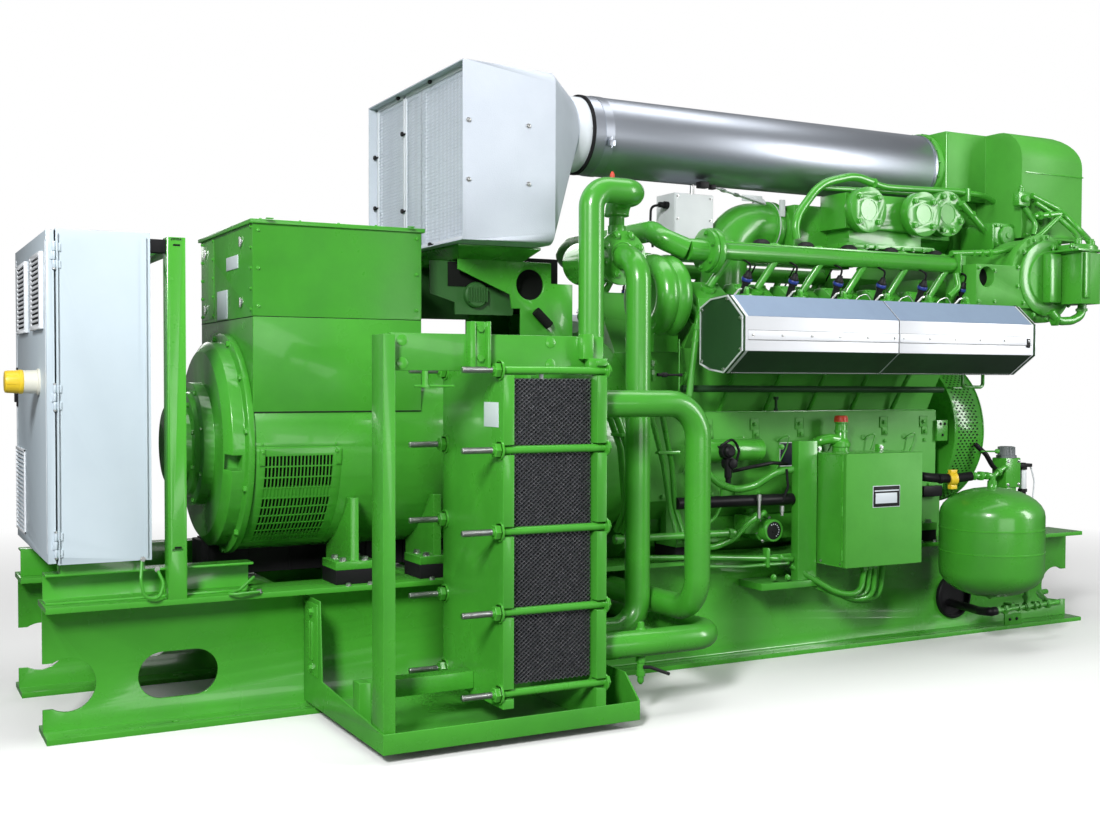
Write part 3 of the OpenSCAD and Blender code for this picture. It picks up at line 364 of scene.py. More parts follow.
hinge_caps = bmesh.new()
HINGE_X, HINGE_Y = -2.268, -0.436
for z in (body_low.z + 0.062, body_low.z + 0.5175, body_low.z + 0.952):
    for side in (-1, 1):
        turned(hinge_caps, (HINGE_X, HINGE_Y, z + side * 0.038), (0, 0, side),
               [(0, 0.0052), (0.004, 0.0052), (0.006, 0.003), (0.0065, 0)], 16)
piece("hinge_pin_caps", hinge_caps, zinc, slot=None)

seams = bmesh.new()
for x in (body_low.x + 0.012, body_high.x - 0.018):
    block(seams, (x, body_low.y - 0.0014, body_low.z + 0.012),
          (x + 0.004, body_low.y + 0.001, body_high.z - 0.012), 0.0005)
    block(seams, (x, body_high.y - 0.001, body_low.z + 0.012),
          (x + 0.004, body_high.y + 0.0014, body_high.z - 0.012), 0.0005)
piece("cabinet_wall_folds", seams, cabinet_grey)

# ---- plate heat exchanger ----
# Pressed steel plates with herringbone edges hang between two thick green end plates. Long painted
# bolts draw the pack together; their free threaded ends stay bare, with nuts and washers on the plates.


def planter(name, **sizes):
    """A geometry tree that plants one shape on every seed point.

    Gives the tree, its two helpers, its inputs, and plant, which takes the shape and ends the tree."""
    tree = bpy.data.node_groups.new(name, "GeometryNodeTree")
    tree.interface.new_socket("Geometry", in_out="INPUT", socket_type="NodeSocketGeometry")
    tree.interface.new_socket("Material", in_out="INPUT", socket_type="NodeSocketMaterial")
    for label, value in sizes.items():
        kind = "NodeSocketInt" if isinstance(value, int) else "NodeSocketFloat"
        tree.interface.new_socket(label, in_out="INPUT", socket_type=kind).default_value = value
    tree.interface.new_socket("Geometry", in_out="OUTPUT", socket_type="NodeSocketGeometry")
    put, calc = builder(tree)
    given = put("NodeGroupInput").outputs

    def plant(shape, **aim):
        each = put("GeometryNodeInstanceOnPoints", {"Points": given["Geometry"], "Instance": shape, **aim})
        real = put("GeometryNodeRealizeInstances", {0: each})
        put("NodeGroupOutput", {0: put("GeometryNodeSetMaterial", {0: real, "Material": given["Material"]})})
    return tree, put, calc, given, plant


def grown(name, points, tree, sizes, material, crease=32, **carried):
    """Plants a tree's shape on points as a plain piece; carried is what each point brings."""
    seed = bpy.data.meshes.new(name + "_points")
    seed.from_pydata(points, [], [])
    for label, values in carried.items():
        if isinstance(values[0], float):
            seed.attributes.new(label, "FLOAT", "POINT").data.foreach_set("value", values)
        else:
            vectors = seed.attributes.new(label, "FLOAT_VECTOR", "POINT").data
            vectors.foreach_set("vector", [part for value in values for part in value])
    source = bpy.data.objects.new(name + "_points", seed)
    bpy.context.scene.collection.objects.link(source)
    grow = source.modifiers.new("grow", "NODES")
    grow.node_group = tree
    for socket in tree.interface.items_tree:
        if socket.in_out == "INPUT" and socket.name in {**sizes, "Material": material}:
            grow[socket.identifier] = {**sizes, "Material": material}[socket.name]
    bpy.context.view_layer.update()
    result = bpy.data.meshes.new_from_object(source.evaluated_get(bpy.context.evaluated_depsgraph_get()))
    source.modifiers.remove(grow)
    bpy.data.objects.remove(source)
    result.name = name
    result.shade_smooth()
    result.set_sharp_from_angle(angle=math.radians(crease))
    return hung(name, result, "base", SLOT[material.name])


# each point is where one plate stands; its zigzag edge is mirrored on every other plate
PLATES, put, calc, given, plant = planter(
    "pressed_plates", Height=0.95, Depth=0.02, Spacing=0.0082, Wave=0.0134)
half_wave = calc("DIVIDE", given["Wave"], 2)
corners = calc("ADD", calc("ROUND", calc("DIVIDE", given["Height"], half_wave)), 1)
size = put("ShaderNodeCombineXYZ", {"X": 0.0012, "Y": given["Depth"], "Z": given["Height"]})
strip = put("GeometryNodeMeshCube", {"Size": size, "Vertices Z": corners})
height = put("ShaderNodeSeparateXYZ", {0: put("GeometryNodeInputPosition")}).outputs["Z"]
row = calc("DIVIDE", calc("MULTIPLY_ADD", given["Height"], 0.5, height), half_wave)
reach = calc("MULTIPLY", given["Spacing"], 0.46)
offset = put("ShaderNodeCombineXYZ",
             {"X": calc("MULTIPLY", calc("COSINE", calc("MULTIPLY", row, math.pi)), reach)})
waved = put("GeometryNodeSetPosition", {"Geometry": strip, "Offset": offset})
half_turn = calc("MULTIPLY", calc("MODULO", put("GeometryNodeInputIndex"), 2), math.pi)
plant(waved, Rotation=put("ShaderNodeCombineXYZ", {"Z": half_turn}))

pack_low, pack_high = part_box("hx_plate_pack")
pack_z = (pack_low.z + pack_high.z) / 2
plate_gap = 0.0082  # from one pressed plate to the next
plate_edge = finish("plate_edge", (0.62, 0.63, 0.66), (0.22, 0.23, 0.25), 0.22, 0.34, blotch_scale=60,
                    skin=0.04, dust=0.02, metal=0.9, slot="plate_steel")
plate_n = int((pack_high.x - pack_low.x) / plate_gap)
for side, y in (("near", pack_low.y - 0.001), ("far", pack_high.y + 0.001)):
    feet = [(pack_low.x + plate_gap * (k + 0.6), y, pack_z) for k in range(plate_n)]
    grown("plate_edges_" + side, feet, PLATES,
          {"Height": pack_high.z - pack_low.z, "Depth": 0.024, "Spacing": plate_gap}, plate_edge, crease=60)

# hexagon screws with washers, wherever a part is bolted on, for a head of half width 1
SCREWS, put, calc, given, plant = planter("hex_screws", Sides=6)
head = put("GeometryNodeMeshCylinder", {"Vertices": given["Sides"], "Radius": 1.0, "Depth": 0.75})
crown = put("GeometryNodeMeshCone",
            {"Vertices": 16, "Radius Top": 0.62, "Radius Bottom": 0.84, "Depth": 0.12})
washer = put("GeometryNodeMeshCylinder", {"Vertices": 20, "Radius": 1.28, "Depth": 0.22})
stacked = [put("GeometryNodeTransform", {"Geometry": shape, "Translation": (0, 0, height)})
           for shape, height in ((head, 0.575), (crown, 0.94), (washer, 0.1))]
way = put("GeometryNodeInputNamedAttribute", {"Name": "way"}, data_type="FLOAT_VECTOR")
size = put("GeometryNodeInputNamedAttribute", {"Name": "size"}, data_type="FLOAT")
plant(put("GeometryNodeJoinGeometry", {0: stacked}),
      Rotation=put("FunctionNodeAlignRotationToVector", {"Vector": way}, axis="Z"), Scale=size)


def screws(name, spots, material, sides=6):
    """Screws at spots: each is (place, way it faces, half width of the head)."""
    places, ways, sizes = zip(*spots)
    grown(name, places, SCREWS, {"Sides": sides}, material, way=ways, size=sizes)


# the long bolts: painted shank, bare thread, nut with two washers, and a pressed end cap
THREADS, put, calc, given, plant = planter("bolt_threads", Radius=0.012, Length=0.13, Pitch=0.003)
pitch = given["Pitch"]
count = calc("ROUND", calc("DIVIDE", given["Length"], pitch))
line = put("GeometryNodeMeshLine", {"Count": count, "Offset": put("ShaderNodeCombineXYZ", {"X": pitch})})
root = calc("MULTIPLY", given["Radius"], 0.86)
ring = put("GeometryNodeMeshCone",
           {"Vertices": 16, "Radius Top": root, "Radius Bottom": given["Radius"], "Depth": pitch})
along_x = put("GeometryNodeTransform", {"Geometry": ring, "Rotation": (0, math.pi / 2, 0)})
thread = put("GeometryNodeInstanceOnPoints", {"Points": line, "Instance": along_x})
plant(put("GeometryNodeRealizeInstances", {0: thread}))

bolt_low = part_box("hx_tie_bolts")[0]
plate_low, plate_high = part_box("hx_pressure_plate")
end_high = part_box("hx_frame_plate")[1]
bolt_inset = 0.02
bolt_r = 0.0125
shanks, bare_ends, thread_feet = bmesh.new(), bmesh.new(), []
for z in (0.163, 0.414, 0.664, 0.915, 1.16):
    for y in (plate_low.y + bolt_inset, plate_high.y - bolt_inset):
        turned(shanks, (plate_low.x - 0.03, y, z), (1, 0, 0),
               [(0, bolt_r), (end_high.x - plate_low.x + 0.03, bolt_r)], 20)
        turned(shanks, (plate_low.x - 0.024, y, z), (1, 0, 0),
               [(0, 0.021), (0.002, 0.024), (0.018, 0.024), (0.018, 0.029), (0.024, 0.029)], 6)
        turned(shanks, (plate_low.x - 0.006, y, z), (1, 0, 0), [(0, 0.031), (0.006, 0.031)], 24)
        turned(shanks, (end_high.x, y, z), (1, 0, 0), [(0, 0.03), (0.005, 0.03), (0.005, 0.022)], 24)
        turned(shanks, (end_high.x + 0.005, y, z), (1, 0, 0),
               [(0, 0.021), (0.012, 0.021), (0.014, 0.018), (0.014, 0)], 6)
        turned(bare_ends, (bolt_low.x, y, z), (1, 0, 0),
               [(0, 0), (0, 0.0085), (0.002, 0.0092), (plate_low.x - bolt_low.x - 0.02, 0.0092)], 20)
        thread_feet.append((bolt_low.x + 0.003, y, z))
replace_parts(piece("tie_bolt_shanks", shanks, enamel), "hx_tie_bolts")
piece("tie_bolt_ends", bare_ends, zinc)
grown("tie_bolt_threads", thread_feet, THREADS,
      {"Radius": 0.0104, "Length": plate_low.x - bolt_low.x - 0.03, "Pitch": 0.003}, zinc, crease=80)

label_white = finish("label_white", (0.66, 0.72, 0.76), (0.58, 0.64, 0.69), 0.35, 0.5, skin=0.01, dust=0.02,
                     dust_colour=(0.5, 0.5, 0.5))
label = bmesh.new()
block(label, (plate_low.x - 0.0012, plate_low.y + 0.034, 0.984),
      (plate_low.x, plate_low.y + 0.138, 1.061), 0.0004)
piece("plate_label", label, label_white)

bar_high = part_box("hx_guide_bars")[1]
fittings = bmesh.new()
for x in (-1.376, -0.878):
    for z in (bar_high.z - 0.022, bar_high.z - 0.09):
        turned(fittings, (x, plate_low.y + 0.05, z), (0, -1, 0),
               [(-0.001, 0.0175), (0.0016, 0.017), (0.002, 0.016), (0.002, 0)], 24)
block(fittings, (-1.168, plate_low.y + 0.018, 1.165), (-1.15, plate_low.y + 0.052, 1.307), 0.003)
block(fittings, (-1.15, plate_low.y + 0.03, 1.165), (-1.112, plate_low.y + 0.048, 1.307), 0.003)
block(fittings, (-1.114, plate_low.y + 0.01, 1.165), (-1.103, plate_low.y + 0.05, 1.307), 0.003)
for z in (1.285, 1.195):
    turned(fittings, (-1.131, plate_low.y + 0.03, z), (0, -1, 0), [(0, 0.011), (0.008, 0.011)], 6)
turned(fittings, (plate_low.x - 0.235, plate_low.y + 0.055, bar_high.z - 0.112), (0, 0, -1),
       [(0, 0.01), (0.042, 0.01), (0.042, 0.014), (0.05, 0.014)], 16)
turned(fittings, (plate_low.x - 0.27, plate_low.y + 0.055, bar_high.z - 0.158), (1, 0, 0),
       [(0, 0.004), (0.13, 0.004)], 12)
block(fittings, (-0.779, plate_low.y + 0.016, 1.196), (-0.741, plate_low.y + 0.05, 1.276), 0.003)
block(fittings, (-0.76, plate_low.y + 0.012, 1.17), (-0.692, plate_low.y + 0.04, 1.199), 0.003)
tray_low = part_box("drip_tray")[0]
block(fittings, (tray_low.x - 0.004, -0.505, 0.135), (tray_low.x, -0.375, 0.38), 0.0015)
for y in (-0.462, -0.438):
    block(fittings, (tray_low.x - 0.011, y - 0.004, 0.188), (tray_low.x - 0.003, y + 0.004, 0.318), 0.002)
for z in (0.16, 0.35):
    turned(fittings, (tray_low.x - 0.004, -0.45, z), (-1, 0, 0),
           [(0, 0.018), (0.002, 0.018), (0.002, 0.013), (0.012, 0.012), (0.013, 0)], 6)
# Near black and matt: painted shade for the dark inside of slots, holes and vents, and for dark sheets where
# there is only shade.
painted_shade_finish = finish("vent_well", (0.004, 0.005, 0.004), (0.008, 0.01, 0.008), 0.7, 0.9, skin=0.1, dust=0.0)
# The slot in the tray bracket is a near-black strip of painted shade.
tray_slot = bmesh.new()
block(tray_slot, (tray_low.x - 0.0052, -0.458, 0.192), (tray_low.x - 0.0038, -0.442, 0.314), 0)
piece("tray_bracket_slot", tray_slot, painted_shade_finish)
for k in range(2):
    turned(fittings, (-0.735 + k * 0.02, tray_low.y + 0.01, tray_low.z + 0.02), (0, -1, 0),
           [(0, 0.004), (0.011, 0.004)], 8)
piece("guide_bar_fittings", fittings, enamel)
pin = bmesh.new()
turned(pin, ((pack_low.x + pack_high.x) / 2 - 0.03, plate_low.y + 0.048, pack_high.z + 0.004), (0, 0, 1),
       [(-0.006, 0.007), (0.012, 0.007), (0.016, 0.004), (0.016, 0)], 16)
piece("pack_hanger_pin", pin, grille_white)

# ---- generator ----
# A round steel barrel with a cast end bell and bearing hub, and a folded terminal box on its back.
# Air leaves through slotted sheets in the flanks; covers are held by screws and quarter-turn locks.


def landed(node, start, way):
    """Where a straight line from start first meets a CAD node, and the way that face looks."""
    if node not in SURFACES:
        mesh = frame["nodes"][node].data
        SURFACES[node] = BVHTree.FromPolygons([v.co for v in mesh.vertices],
            [p.vertices for p in mesh.polygons])
    spot, facing = SURFACES[node].ray_cast(Vector(start), Vector(way).normalized())[:2]
    if spot and facing.dot(Vector(way)) > 0:
        facing = -facing
    return spot, facing


def spread(start, end, n):
    """n places in a straight row, both ends included."""
    return [Vector(start).lerp(Vector(end), k / (n - 1)) for k in range(n)]


def ring_of(centre, way, radius, n, start=0.0):
    """n places on a circle round centre, square to way."""
    turn = Vector(way).to_track_quat("Z", "Y")
    return [Vector(centre) + turn @ Vector((radius * math.cos(a), radius * math.sin(a), 0))
            for a in (start + 2 * math.pi * k / n for k in range(n))]


def drawn(name, shape, material):
    """Open faces kept just as they are drawn, as painted shade for the dark inside of holes."""
    mesh = bpy.data.meshes.new(name)
    shape.to_mesh(mesh)
    shape.free()
    mesh.materials.append(material)
    return hung(name, mesh, "base", None)


SURFACES = {}
barrel_low, barrel_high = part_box("generator_housing")
box_low, box_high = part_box("terminal_box")
hood_low, hood_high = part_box("terminal_box_hood")
bell_low, bell_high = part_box("generator_end_bell")
shaft = Vector((0, 0, (barrel_low.z + barrel_high.z) / 2))
out = Vector((-1, 0, 0))

flange_spots = [(p, out, 0.011) for p in ring_of((bell_high.x - 0.022, 0, shaft.z), out, 0.378, 12, 0.15)]
hub_spots = [(landed("generator_end_bell", p + out, -out)[0], out, 0.0075)
             for radius in (0.158, 0.205) for p in ring_of((bell_low.x, 0, shaft.z), out, radius, 8, 0.3)]
screws("end_bell_screws", flange_spots + hub_spots, enamel)

cover_spots = []
for y in (0.345, 0.175, -0.345):
    cover_spots += [(p, out, 0.0055) for p in spread((box_low.x, y, 1.365), (box_low.x, y, 1.64), 5)]
for x in (box_low.x + 0.018, box_high.x - 0.018):
    for y, way in ((box_low.y, (0, -1, 0)), (box_high.y, (0, 1, 0))):
        cover_spots += [(p, way, 0.0055) for p in spread((x, y, 1.375), (x, y, 1.628), 3)]
for y in (0.345, -0.345):
    cover_spots += [(p, (1, 0, 0), 0.0055) for p in spread((box_high.x, y, 1.365), (box_high.x, y, 1.64), 4)]
for y in (-0.355, 0.355):
    ends = ((x, y, hood_high.z) for x in (hood_low.x + 0.04, hood_high.x - 0.04))
    cover_spots += [(p, (0, 0, 1), 0.005) for p in spread(*ends, 5)]
screws("terminal_box_screws", cover_spots, enamel, sides=8)

panels = bmesh.new()
block(panels, (box_low.x - 0.0016, 0.16, 1.352), (box_low.x, 0.358, 1.646), 0.0006)
block(panels, (box_high.x, -0.25, 1.36), (box_high.x + 0.0016, 0.25, 1.64), 0.0006)
for x in (box_low.x + 0.05, box_high.x - 0.05):
    block(panels, (x - 0.012, -0.4, hood_high.z - 0.0005), (x + 0.012, -0.385, hood_high.z + 0.003), 0.0006)
piece("terminal_box_panels", panels, enamel)

locks = bmesh.new()
for y, z in ((-0.226, 1.393), (0.284, 1.39), (-0.226, 1.6), (0.284, 1.6)):
    turned(locks, (box_low.x, y, z), out, [(0, 0.013), (0.003, 0.013), (0.005, 0.01), (0.005, 0)], 20)
    block(locks, (box_low.x - 0.01, y - 0.0035, z - 0.017),
          (box_low.x - 0.003, y + 0.0035, z + 0.017), 0.0015)
piece("terminal_box_locks", locks, zinc)

plates = bmesh.new()
block(plates, (box_low.x - 0.0032, -0.182, 1.514), (box_low.x - 0.0005, -0.026, 1.56), 0.0005)
block(plates, (box_low.x - 0.0032, -0.034, 1.345), (box_low.x - 0.0005, 0.108, 1.448), 0.0005)
piece("terminal_box_plates", plates, label_white)

seals = bmesh.new()
for side in (-1, 1):
    block(seals, (box_low.x + 0.001, side * 0.3652 - 0.0006, 1.0175),
          (box_high.x - 0.001, side * 0.3652 + 0.0006, 1.0215), 0)
    block(seals, (box_low.x + 0.001, side * 0.3635 - 0.0006, 1.3385),
          (box_high.x - 0.001, side * 0.3635 + 0.0006, 1.3415), 0)
block(seals, (box_low.x - 0.0004, box_low.y + 0.001, 1.3385),
      (box_low.x + 0.0006, box_high.y - 0.001, 1.3415), 0)
piece("terminal_box_seals", seals, rubber)

vent_low, vent_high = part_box("generator_vents")
pins = []
LATCH_X = (-1.609, -1.351)
for x in LATCH_X:
    for side in (-1, 1):
        spot, facing = landed("generator_housing", (x, side * 1.0, shaft.z + 0.012), (0, -side, 0))
        pins.append((spot, facing, 0.0045))
        spot, facing = landed("generator_vents", (x, side * 1.0, shaft.z - 0.015), (0, -side, 0))
        pins.append((spot, facing, 0.005))
screws("vent_latch_screws", pins, enamel, sides=10)

# Near-black faces inside the barrel, behind the vent slots, are painted shade.
wells, facets, r = bmesh.new(), 6, barrel_high.y - 0.012
for side in (-1, 1):
    for first, last in ((4.4, 21.0), (27.6, 55.8)):
        for k in range(facets):
            a, b = (math.radians(first + (last - first) * (k + j) / facets) for j in (0, 1))
            verts = [wells.verts.new((x, side * r * math.cos(t), shaft.z - r * math.sin(t)))
                     for t in (a, b) for x in (vent_low.x + 0.032, vent_high.x - 0.032)]
            wells.faces.new([verts[j] for j in ((0, 1, 3, 2) if side > 0 else (2, 3, 1, 0))])
drawn("vent_wells", wells, painted_shade_finish)

foot_bolts = []
for x in (-1.325, -1.245, -1.015, -0.935):
    for y in (-0.372, -0.285, 0.372, 0.285):
        foot_bolts.append(((x, y, 0.502), (0, 0, 1), 0.0125))
screws("generator_foot_bolts", foot_bolts, zinc)

# ---- intake hood ----
# A glass-fibre hood with a hammered silver finish over two filter frames. Wire mesh in pressed frames holds
# white filter mats; knurled screws clamp the frames, and a soft white collar leads into the steel duct.
MESH, put, calc, given, plant = planter("wire_mesh", Width=0.4, Height=0.6, Pitch=0.012, Wire=0.0016)
wires = []
for span, other, along, across in (("Width", "Height", "Y", "Z"), ("Height", "Width", "Z", "Y")):
    count = calc("ROUND", calc("DIVIDE", given[span], given["Pitch"]))
    step = put("ShaderNodeCombineXYZ", {along: given["Pitch"]})
    first = put("ShaderNodeCombineXYZ", {along: calc("MULTIPLY", given[span], -0.5)})
    line = put("GeometryNodeMeshLine", {"Count": count, "Offset": step, "Start Location": first},
               mode="OFFSET")
    size = put("ShaderNodeCombineXYZ", {"X": given["Wire"], along: given["Wire"], across: given[other]})
    wire = put("GeometryNodeMeshCube", {"Size": size})
    wires.append(put("GeometryNodeInstanceOnPoints", {"Points": line, "Instance": wire}))
plant(put("GeometryNodeRealizeInstances", {0: put("GeometryNodeJoinGeometry", {0: wires})}))

cowl_low, cowl_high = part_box("filter_hood")
mesh_wire = finish("mesh_wire", (0.62, 0.68, 0.76), (0.54, 0.6, 0.68), 0.35, 0.5, skin=0.02, dust=0.02,
                   slot="white_panel")
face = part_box("filter_panels")[0].x
frame_top, frame_foot, mesh_pitch = 2.236, 1.645, 0.0125
for name, y0, y1 in (("near", -0.447, 0.14), ("far", 0.17, 0.447)):
    middle = (face - 0.004, (y0 + y1) / 2 + 0.006, (frame_top + frame_foot) / 2)
    grown("filter_mesh_" + name, [middle], MESH,
          {"Width": y1 - y0, "Height": frame_top - frame_foot, "Pitch": mesh_pitch}, mesh_wire)

frames = bmesh.new()
for y0, y1 in ((-0.462, -0.447), (0.14, 0.149), (0.161, 0.17), (0.447, 0.462)):
    block(frames, (face - 0.009, y0, frame_foot - 0.012), (face, y1, frame_top + 0.01), 0.0015)
for z0, z1 in ((frame_foot - 0.014, frame_foot), (frame_top, frame_top + 0.014)):
    block(frames, (face - 0.009, -0.462, z0), (face, 0.149, z1), 0.0015)
    block(frames, (face - 0.009, 0.161, z0), (face, 0.462, z1), 0.0015)
for z in (1.8, 2.1):
    block(frames, (face - 0.004, 0.149, z - 0.012), (face, 0.161, z + 0.012), 0.001)
for y in (-0.3, -0.125, 0.05, 0.199, 0.33):
    block(frames, (face - 0.011, y - 0.03, frame_top + 0.002),
          (face - 0.008, y + 0.03, frame_top + 0.02), 0.001)
piece("filter_frames", frames, panel_white)

clamps = bmesh.new()
for y, z in ((0.155, 2.096), (0.155, 1.794), (0.46, 2.049), (0.46, 1.84), (-0.125, 2.246), (0.199, 2.246),
             (0.155, 1.655), (-0.455, 1.9), (-0.125, 1.637)):
    turned(clamps, (face - 0.008, y, z), out,
           [(0, 0.004), (0.006, 0.004), (0.006, 0.0085), (0.009, 0.0095), (0.013, 0.0095), (0.016, 0.007),
            (0.016, 0)], 14)
    block(clamps, (face - 0.01, y - 0.014, z - 0.004), (face - 0.008, y + 0.014, z + 0.004), 0.0008)
piece("frame_clamp_screws", clamps, lock_black)

side_screws = []
for x in (cowl_low.x + 0.022, cowl_high.x - 0.46):
    for z in (2.043, 1.835):
        for side in (-1, 1):
            spot, facing = landed("filter_hood", (x, side * 2.0, z), (0, -side, 0))
            side_screws.append((spot, facing, 0.007))
screws("hood_side_screws", side_screws, zinc, sides=8)

duct_low, duct_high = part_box("intake_duct")
duct_z = (duct_low.z + duct_high.z) / 2
duct_r = (duct_high.y - duct_low.y) / 2
bands = bmesh.new()


def hoop(shape, x, width, inner, outer, y=0.0, z=0.0, sides=72):
    """A flat band round a pipe that runs along X."""
    turned(shape, (x, y, z), (1, 0, 0),
           [(0, inner), (0, outer), (width, outer), (width, inner), (0, inner)], sides)


hoop(bands, duct_low.x + 0.05, 0.04, duct_r - 0.001, duct_r + 0.0022, z=duct_z)
hoop(bands, duct_high.x - 0.02, 0.012, duct_r - 0.001, duct_r + 0.003, z=duct_z)
block(bands, (duct_low.x + 0.056, -duct_r - 0.016, duct_z - 0.065),
      (duct_low.x + 0.084, -duct_r + 0.002, duct_z - 0.04), 0.002)
turned(bands, (duct_low.x + 0.07, -duct_r - 0.01, duct_z - 0.072), (0, 0, 1),
       [(0, 0), (0, 0.004), (0.045, 0.004), (0.045, 0)], 12)
piece("duct_clamp_band", bands, duct_steel)
lips = bmesh.new()
hoop(lips, duct_low.x - 0.007, 0.011, 0.148, duct_r + 0.0016, z=duct_z)
piece("duct_rubber_lip", lips, rubber)
soft_white = finish("collar_cloth", (0.66, 0.7, 0.74), (0.6, 0.64, 0.68), 0.5, 0.62, skin=0.12, dust=0.03)
collar = bmesh.new()
hoop(collar, duct_low.x - 0.066, 0.058, 0.1475, 0.1515, z=duct_z)
piece("duct_collar_sleeve", collar, soft_white)

# ---- shade under the generator ----
# A long black box with narrow ribs lies under the generator between the beams. It is painted shade: it
# fills the dark gap between the generator and the beam tops.
gap_shade = bmesh.new()
block(gap_shade, (-1.72, 0.02, 0.425), (-0.48, 0.17, 0.548), 0.004)
for k in range(9):
    block(gap_shade, (-1.7 + k * 0.15, 0.016, 0.425), (-1.692 + k * 0.15, 0.174, 0.552), 0.001)
piece("under_generator_shade", gap_shade, rubber, slot=None)

# ---- hood support ----
# Bent and welded plates carry the intake hood over the flywheel housing. Behind the outer bracket stands
# a second plate with a ribbed inspection cap, both in a dark green that is painted shade. Above the cap a
# near-black plate, and between the brackets a near-black block, are painted shade; a short black tube drains
# downwards.


def flank(shape, side, low, high, round_off=0.0015):
    """A block on the near (-1) or far (1) side, its y given as the distance from the middle."""
    (x0, y0, z0), (x1, y1, z1) = low, high
    y0, y1 = sorted((side * y0, side * y1))
    block(shape, (x0, y0, z0), (x1, y1, z1), round_off)


inner_plates, drain_and_shade, caps = bmesh.new(), bmesh.new(), bmesh.new()
for side in (-1, 1):
    outline = [(-0.93, 1.572), (-0.56, 1.572), (-0.59, 1.376), (-0.828, 1.375), (-0.83, 1.42), (-0.93, 1.45)]
    for y in sorted((side * 0.198, side * 0.206)):
        inner_plates.faces.new([inner_plates.verts.new((x, y, z)) for x, z in outline])
    rims = list(inner_plates.verts)[-12:]
    for k in range(6):
        before = (k - 1) % 6
        inner_plates.faces.new((rims[before], rims[k], rims[6 + k], rims[6 + before]))
    # A near-black plate above the cap: painted shade.
    flank(drain_and_shade, side, (-0.86, 0.207, 1.48), (-0.56, 0.213, 1.57), 0.001)
    turned(drain_and_shade, (-0.524, side * 0.272, 1.392), (0.74, 0, -0.67),
           [(0, 0.018), (0.08, 0.018), (0.08, 0.013), (0.06, 0.013), (0.06, 0)], 20)
    turned(caps, (-0.747, side * 0.206, 1.449), (0, side, 0),
           [(0, 0.05), (0.018, 0.048), (0.024, 0.042), (0.024, 0)], 36)
    for k in range(8):
        flank(caps, side, (-0.787 + k * 0.0107, 0.229, 1.422), (-0.783 + k * 0.0107, 0.236, 1.476), 0.001)
# A dark green standing as painted shade on the inner plates and caps.
stand_painted_shade_green = finish("stand_painted_shade_green", (0.02, 0.105, 0.016), (0.014, 0.075, 0.012), 0.5, 0.62, skin=0.1,
                     dust=0.03)
# A near-black block between the brackets, where there is only shade: painted shade.
block(drain_and_shade, (-0.6, -0.19, 1.404), (-0.385, 0.19, 1.6), 0.004)
piece("hood_stand_inner_plates", inner_plates, stand_painted_shade_green)
piece("hood_stand_drain_and_shade", drain_and_shade, painted_shade_finish)
piece("hood_stand_caps", caps, stand_painted_shade_green)

# ---- water pipes ----
# Welded steel pipes in green gloss paint carry water between the heat exchanger and the engine. A turned
# flange with eight bolts closes the thermostat housing; vents, a bleed valve and a drain tap are screwed in.


def bent(corners, bend=0.05):
    """A path through corners, each turned in an arc of about the bend radius."""
    way = [Vector(corners[0])]
    for before, corner, after in zip(corners, corners[1:], corners[2:]):
        before, corner, after = Vector(before), Vector(corner), Vector(after)
        into, away = (corner - before).normalized(), (after - corner).normalized()
        spare = min((corner - before).length, (after - corner).length) * 0.49
        cut = min(bend * math.tan(into.angle(away) / 2), spare)
        start, end = corner - into * cut, corner + away * cut
        n = 2 + int(into.angle(away) / 0.2)
        way += [start.lerp(corner, k / n).lerp(corner.lerp(end, k / n), k / n) for k in range(n + 1)]
    way.append(Vector(corners[-1]))
    return [p for k, p in enumerate(way) if not k or (p - way[k - 1]).length > 0.0002]


def tube(shape, way, radius, sides=14, rib=0.0):
    """A round tube along a path, closed at both ends; rib is the pitch of its corrugations."""
    if rib:
        gone = [0.0]
        for a, b in zip(way, way[1:]):
            gone.append(gone[-1] + (b - a).length)
        n, k, fine = max(4, int(gone[-1] / rib) * 2), 0, []
        for j in range(n + 1):
            d = gone[-1] * j / n
            while k < len(way) - 2 and gone[k + 1] < d:
                k += 1
            fine.append(way[k].lerp(way[k + 1], (d - gone[k]) / (gone[k + 1] - gone[k])))
        way = fine
    side, rings = None, []
    for k, p in enumerate(way):
        ahead = (way[min(k + 1, len(way) - 1)] - way[max(k - 1, 0)]).normalized()
        side = (ahead.orthogonal() if side is None else side - ahead * side.dot(ahead)).normalized()
        up = ahead.cross(side)
        r = radius * (0.87 if rib and k % 2 else 1)
        rings.append([shape.verts.new(p + (side * math.cos(a) + up * math.sin(a)) * r)
                      for a in (2 * math.pi * j / sides for j in range(sides))])
    for first, second in zip(rings, rings[1:]):
        for j in range(sides):
            shape.faces.new((first[j], first[(j + 1) % sides], second[(j + 1) % sides], second[j]))
    shape.faces.new(rings[0])
    shape.faces.new(rings[-1])


def union_nut(shape, at, way, radius, length=0.02):
    """A pipe nut: hexagon with a collar on each side."""
    turned(shape, Vector(at) - Vector(way).normalized() * length / 2, way,
           [(0, radius * 0.8), (length * 0.2, radius * 0.8), (length * 0.2, radius), (length * 0.8, radius),
            (length * 0.8, radius * 0.8), (length, radius * 0.8)], 6)


near = Vector((0, -1, 0))
up = Vector((0, 0, 1))
thermo_low, thermo_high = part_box("thermostat_housing")
thermo = Vector(((thermo_low.x + thermo_high.x) / 2, thermo_low.y, (thermo_low.z + thermo_high.z) / 2))
thermo_face = thermo_high.x - thermo.x
screws("thermostat_flange_bolts",
       [(p, near, 0.0125) for p in ring_of(thermo, near, thermo_face * 0.78, 8, 0.39)], machine_green)
flange_ring = bmesh.new()
turned(flange_ring, thermo, near,
       [(-0.003, 0.05), (0.0015, 0.05), (0.0025, 0.048), (0.0025, 0.044), (-0.003, 0.044), (-0.003, 0.05)],
       40)
piece("thermostat_flange_face", flange_ring, enamel)

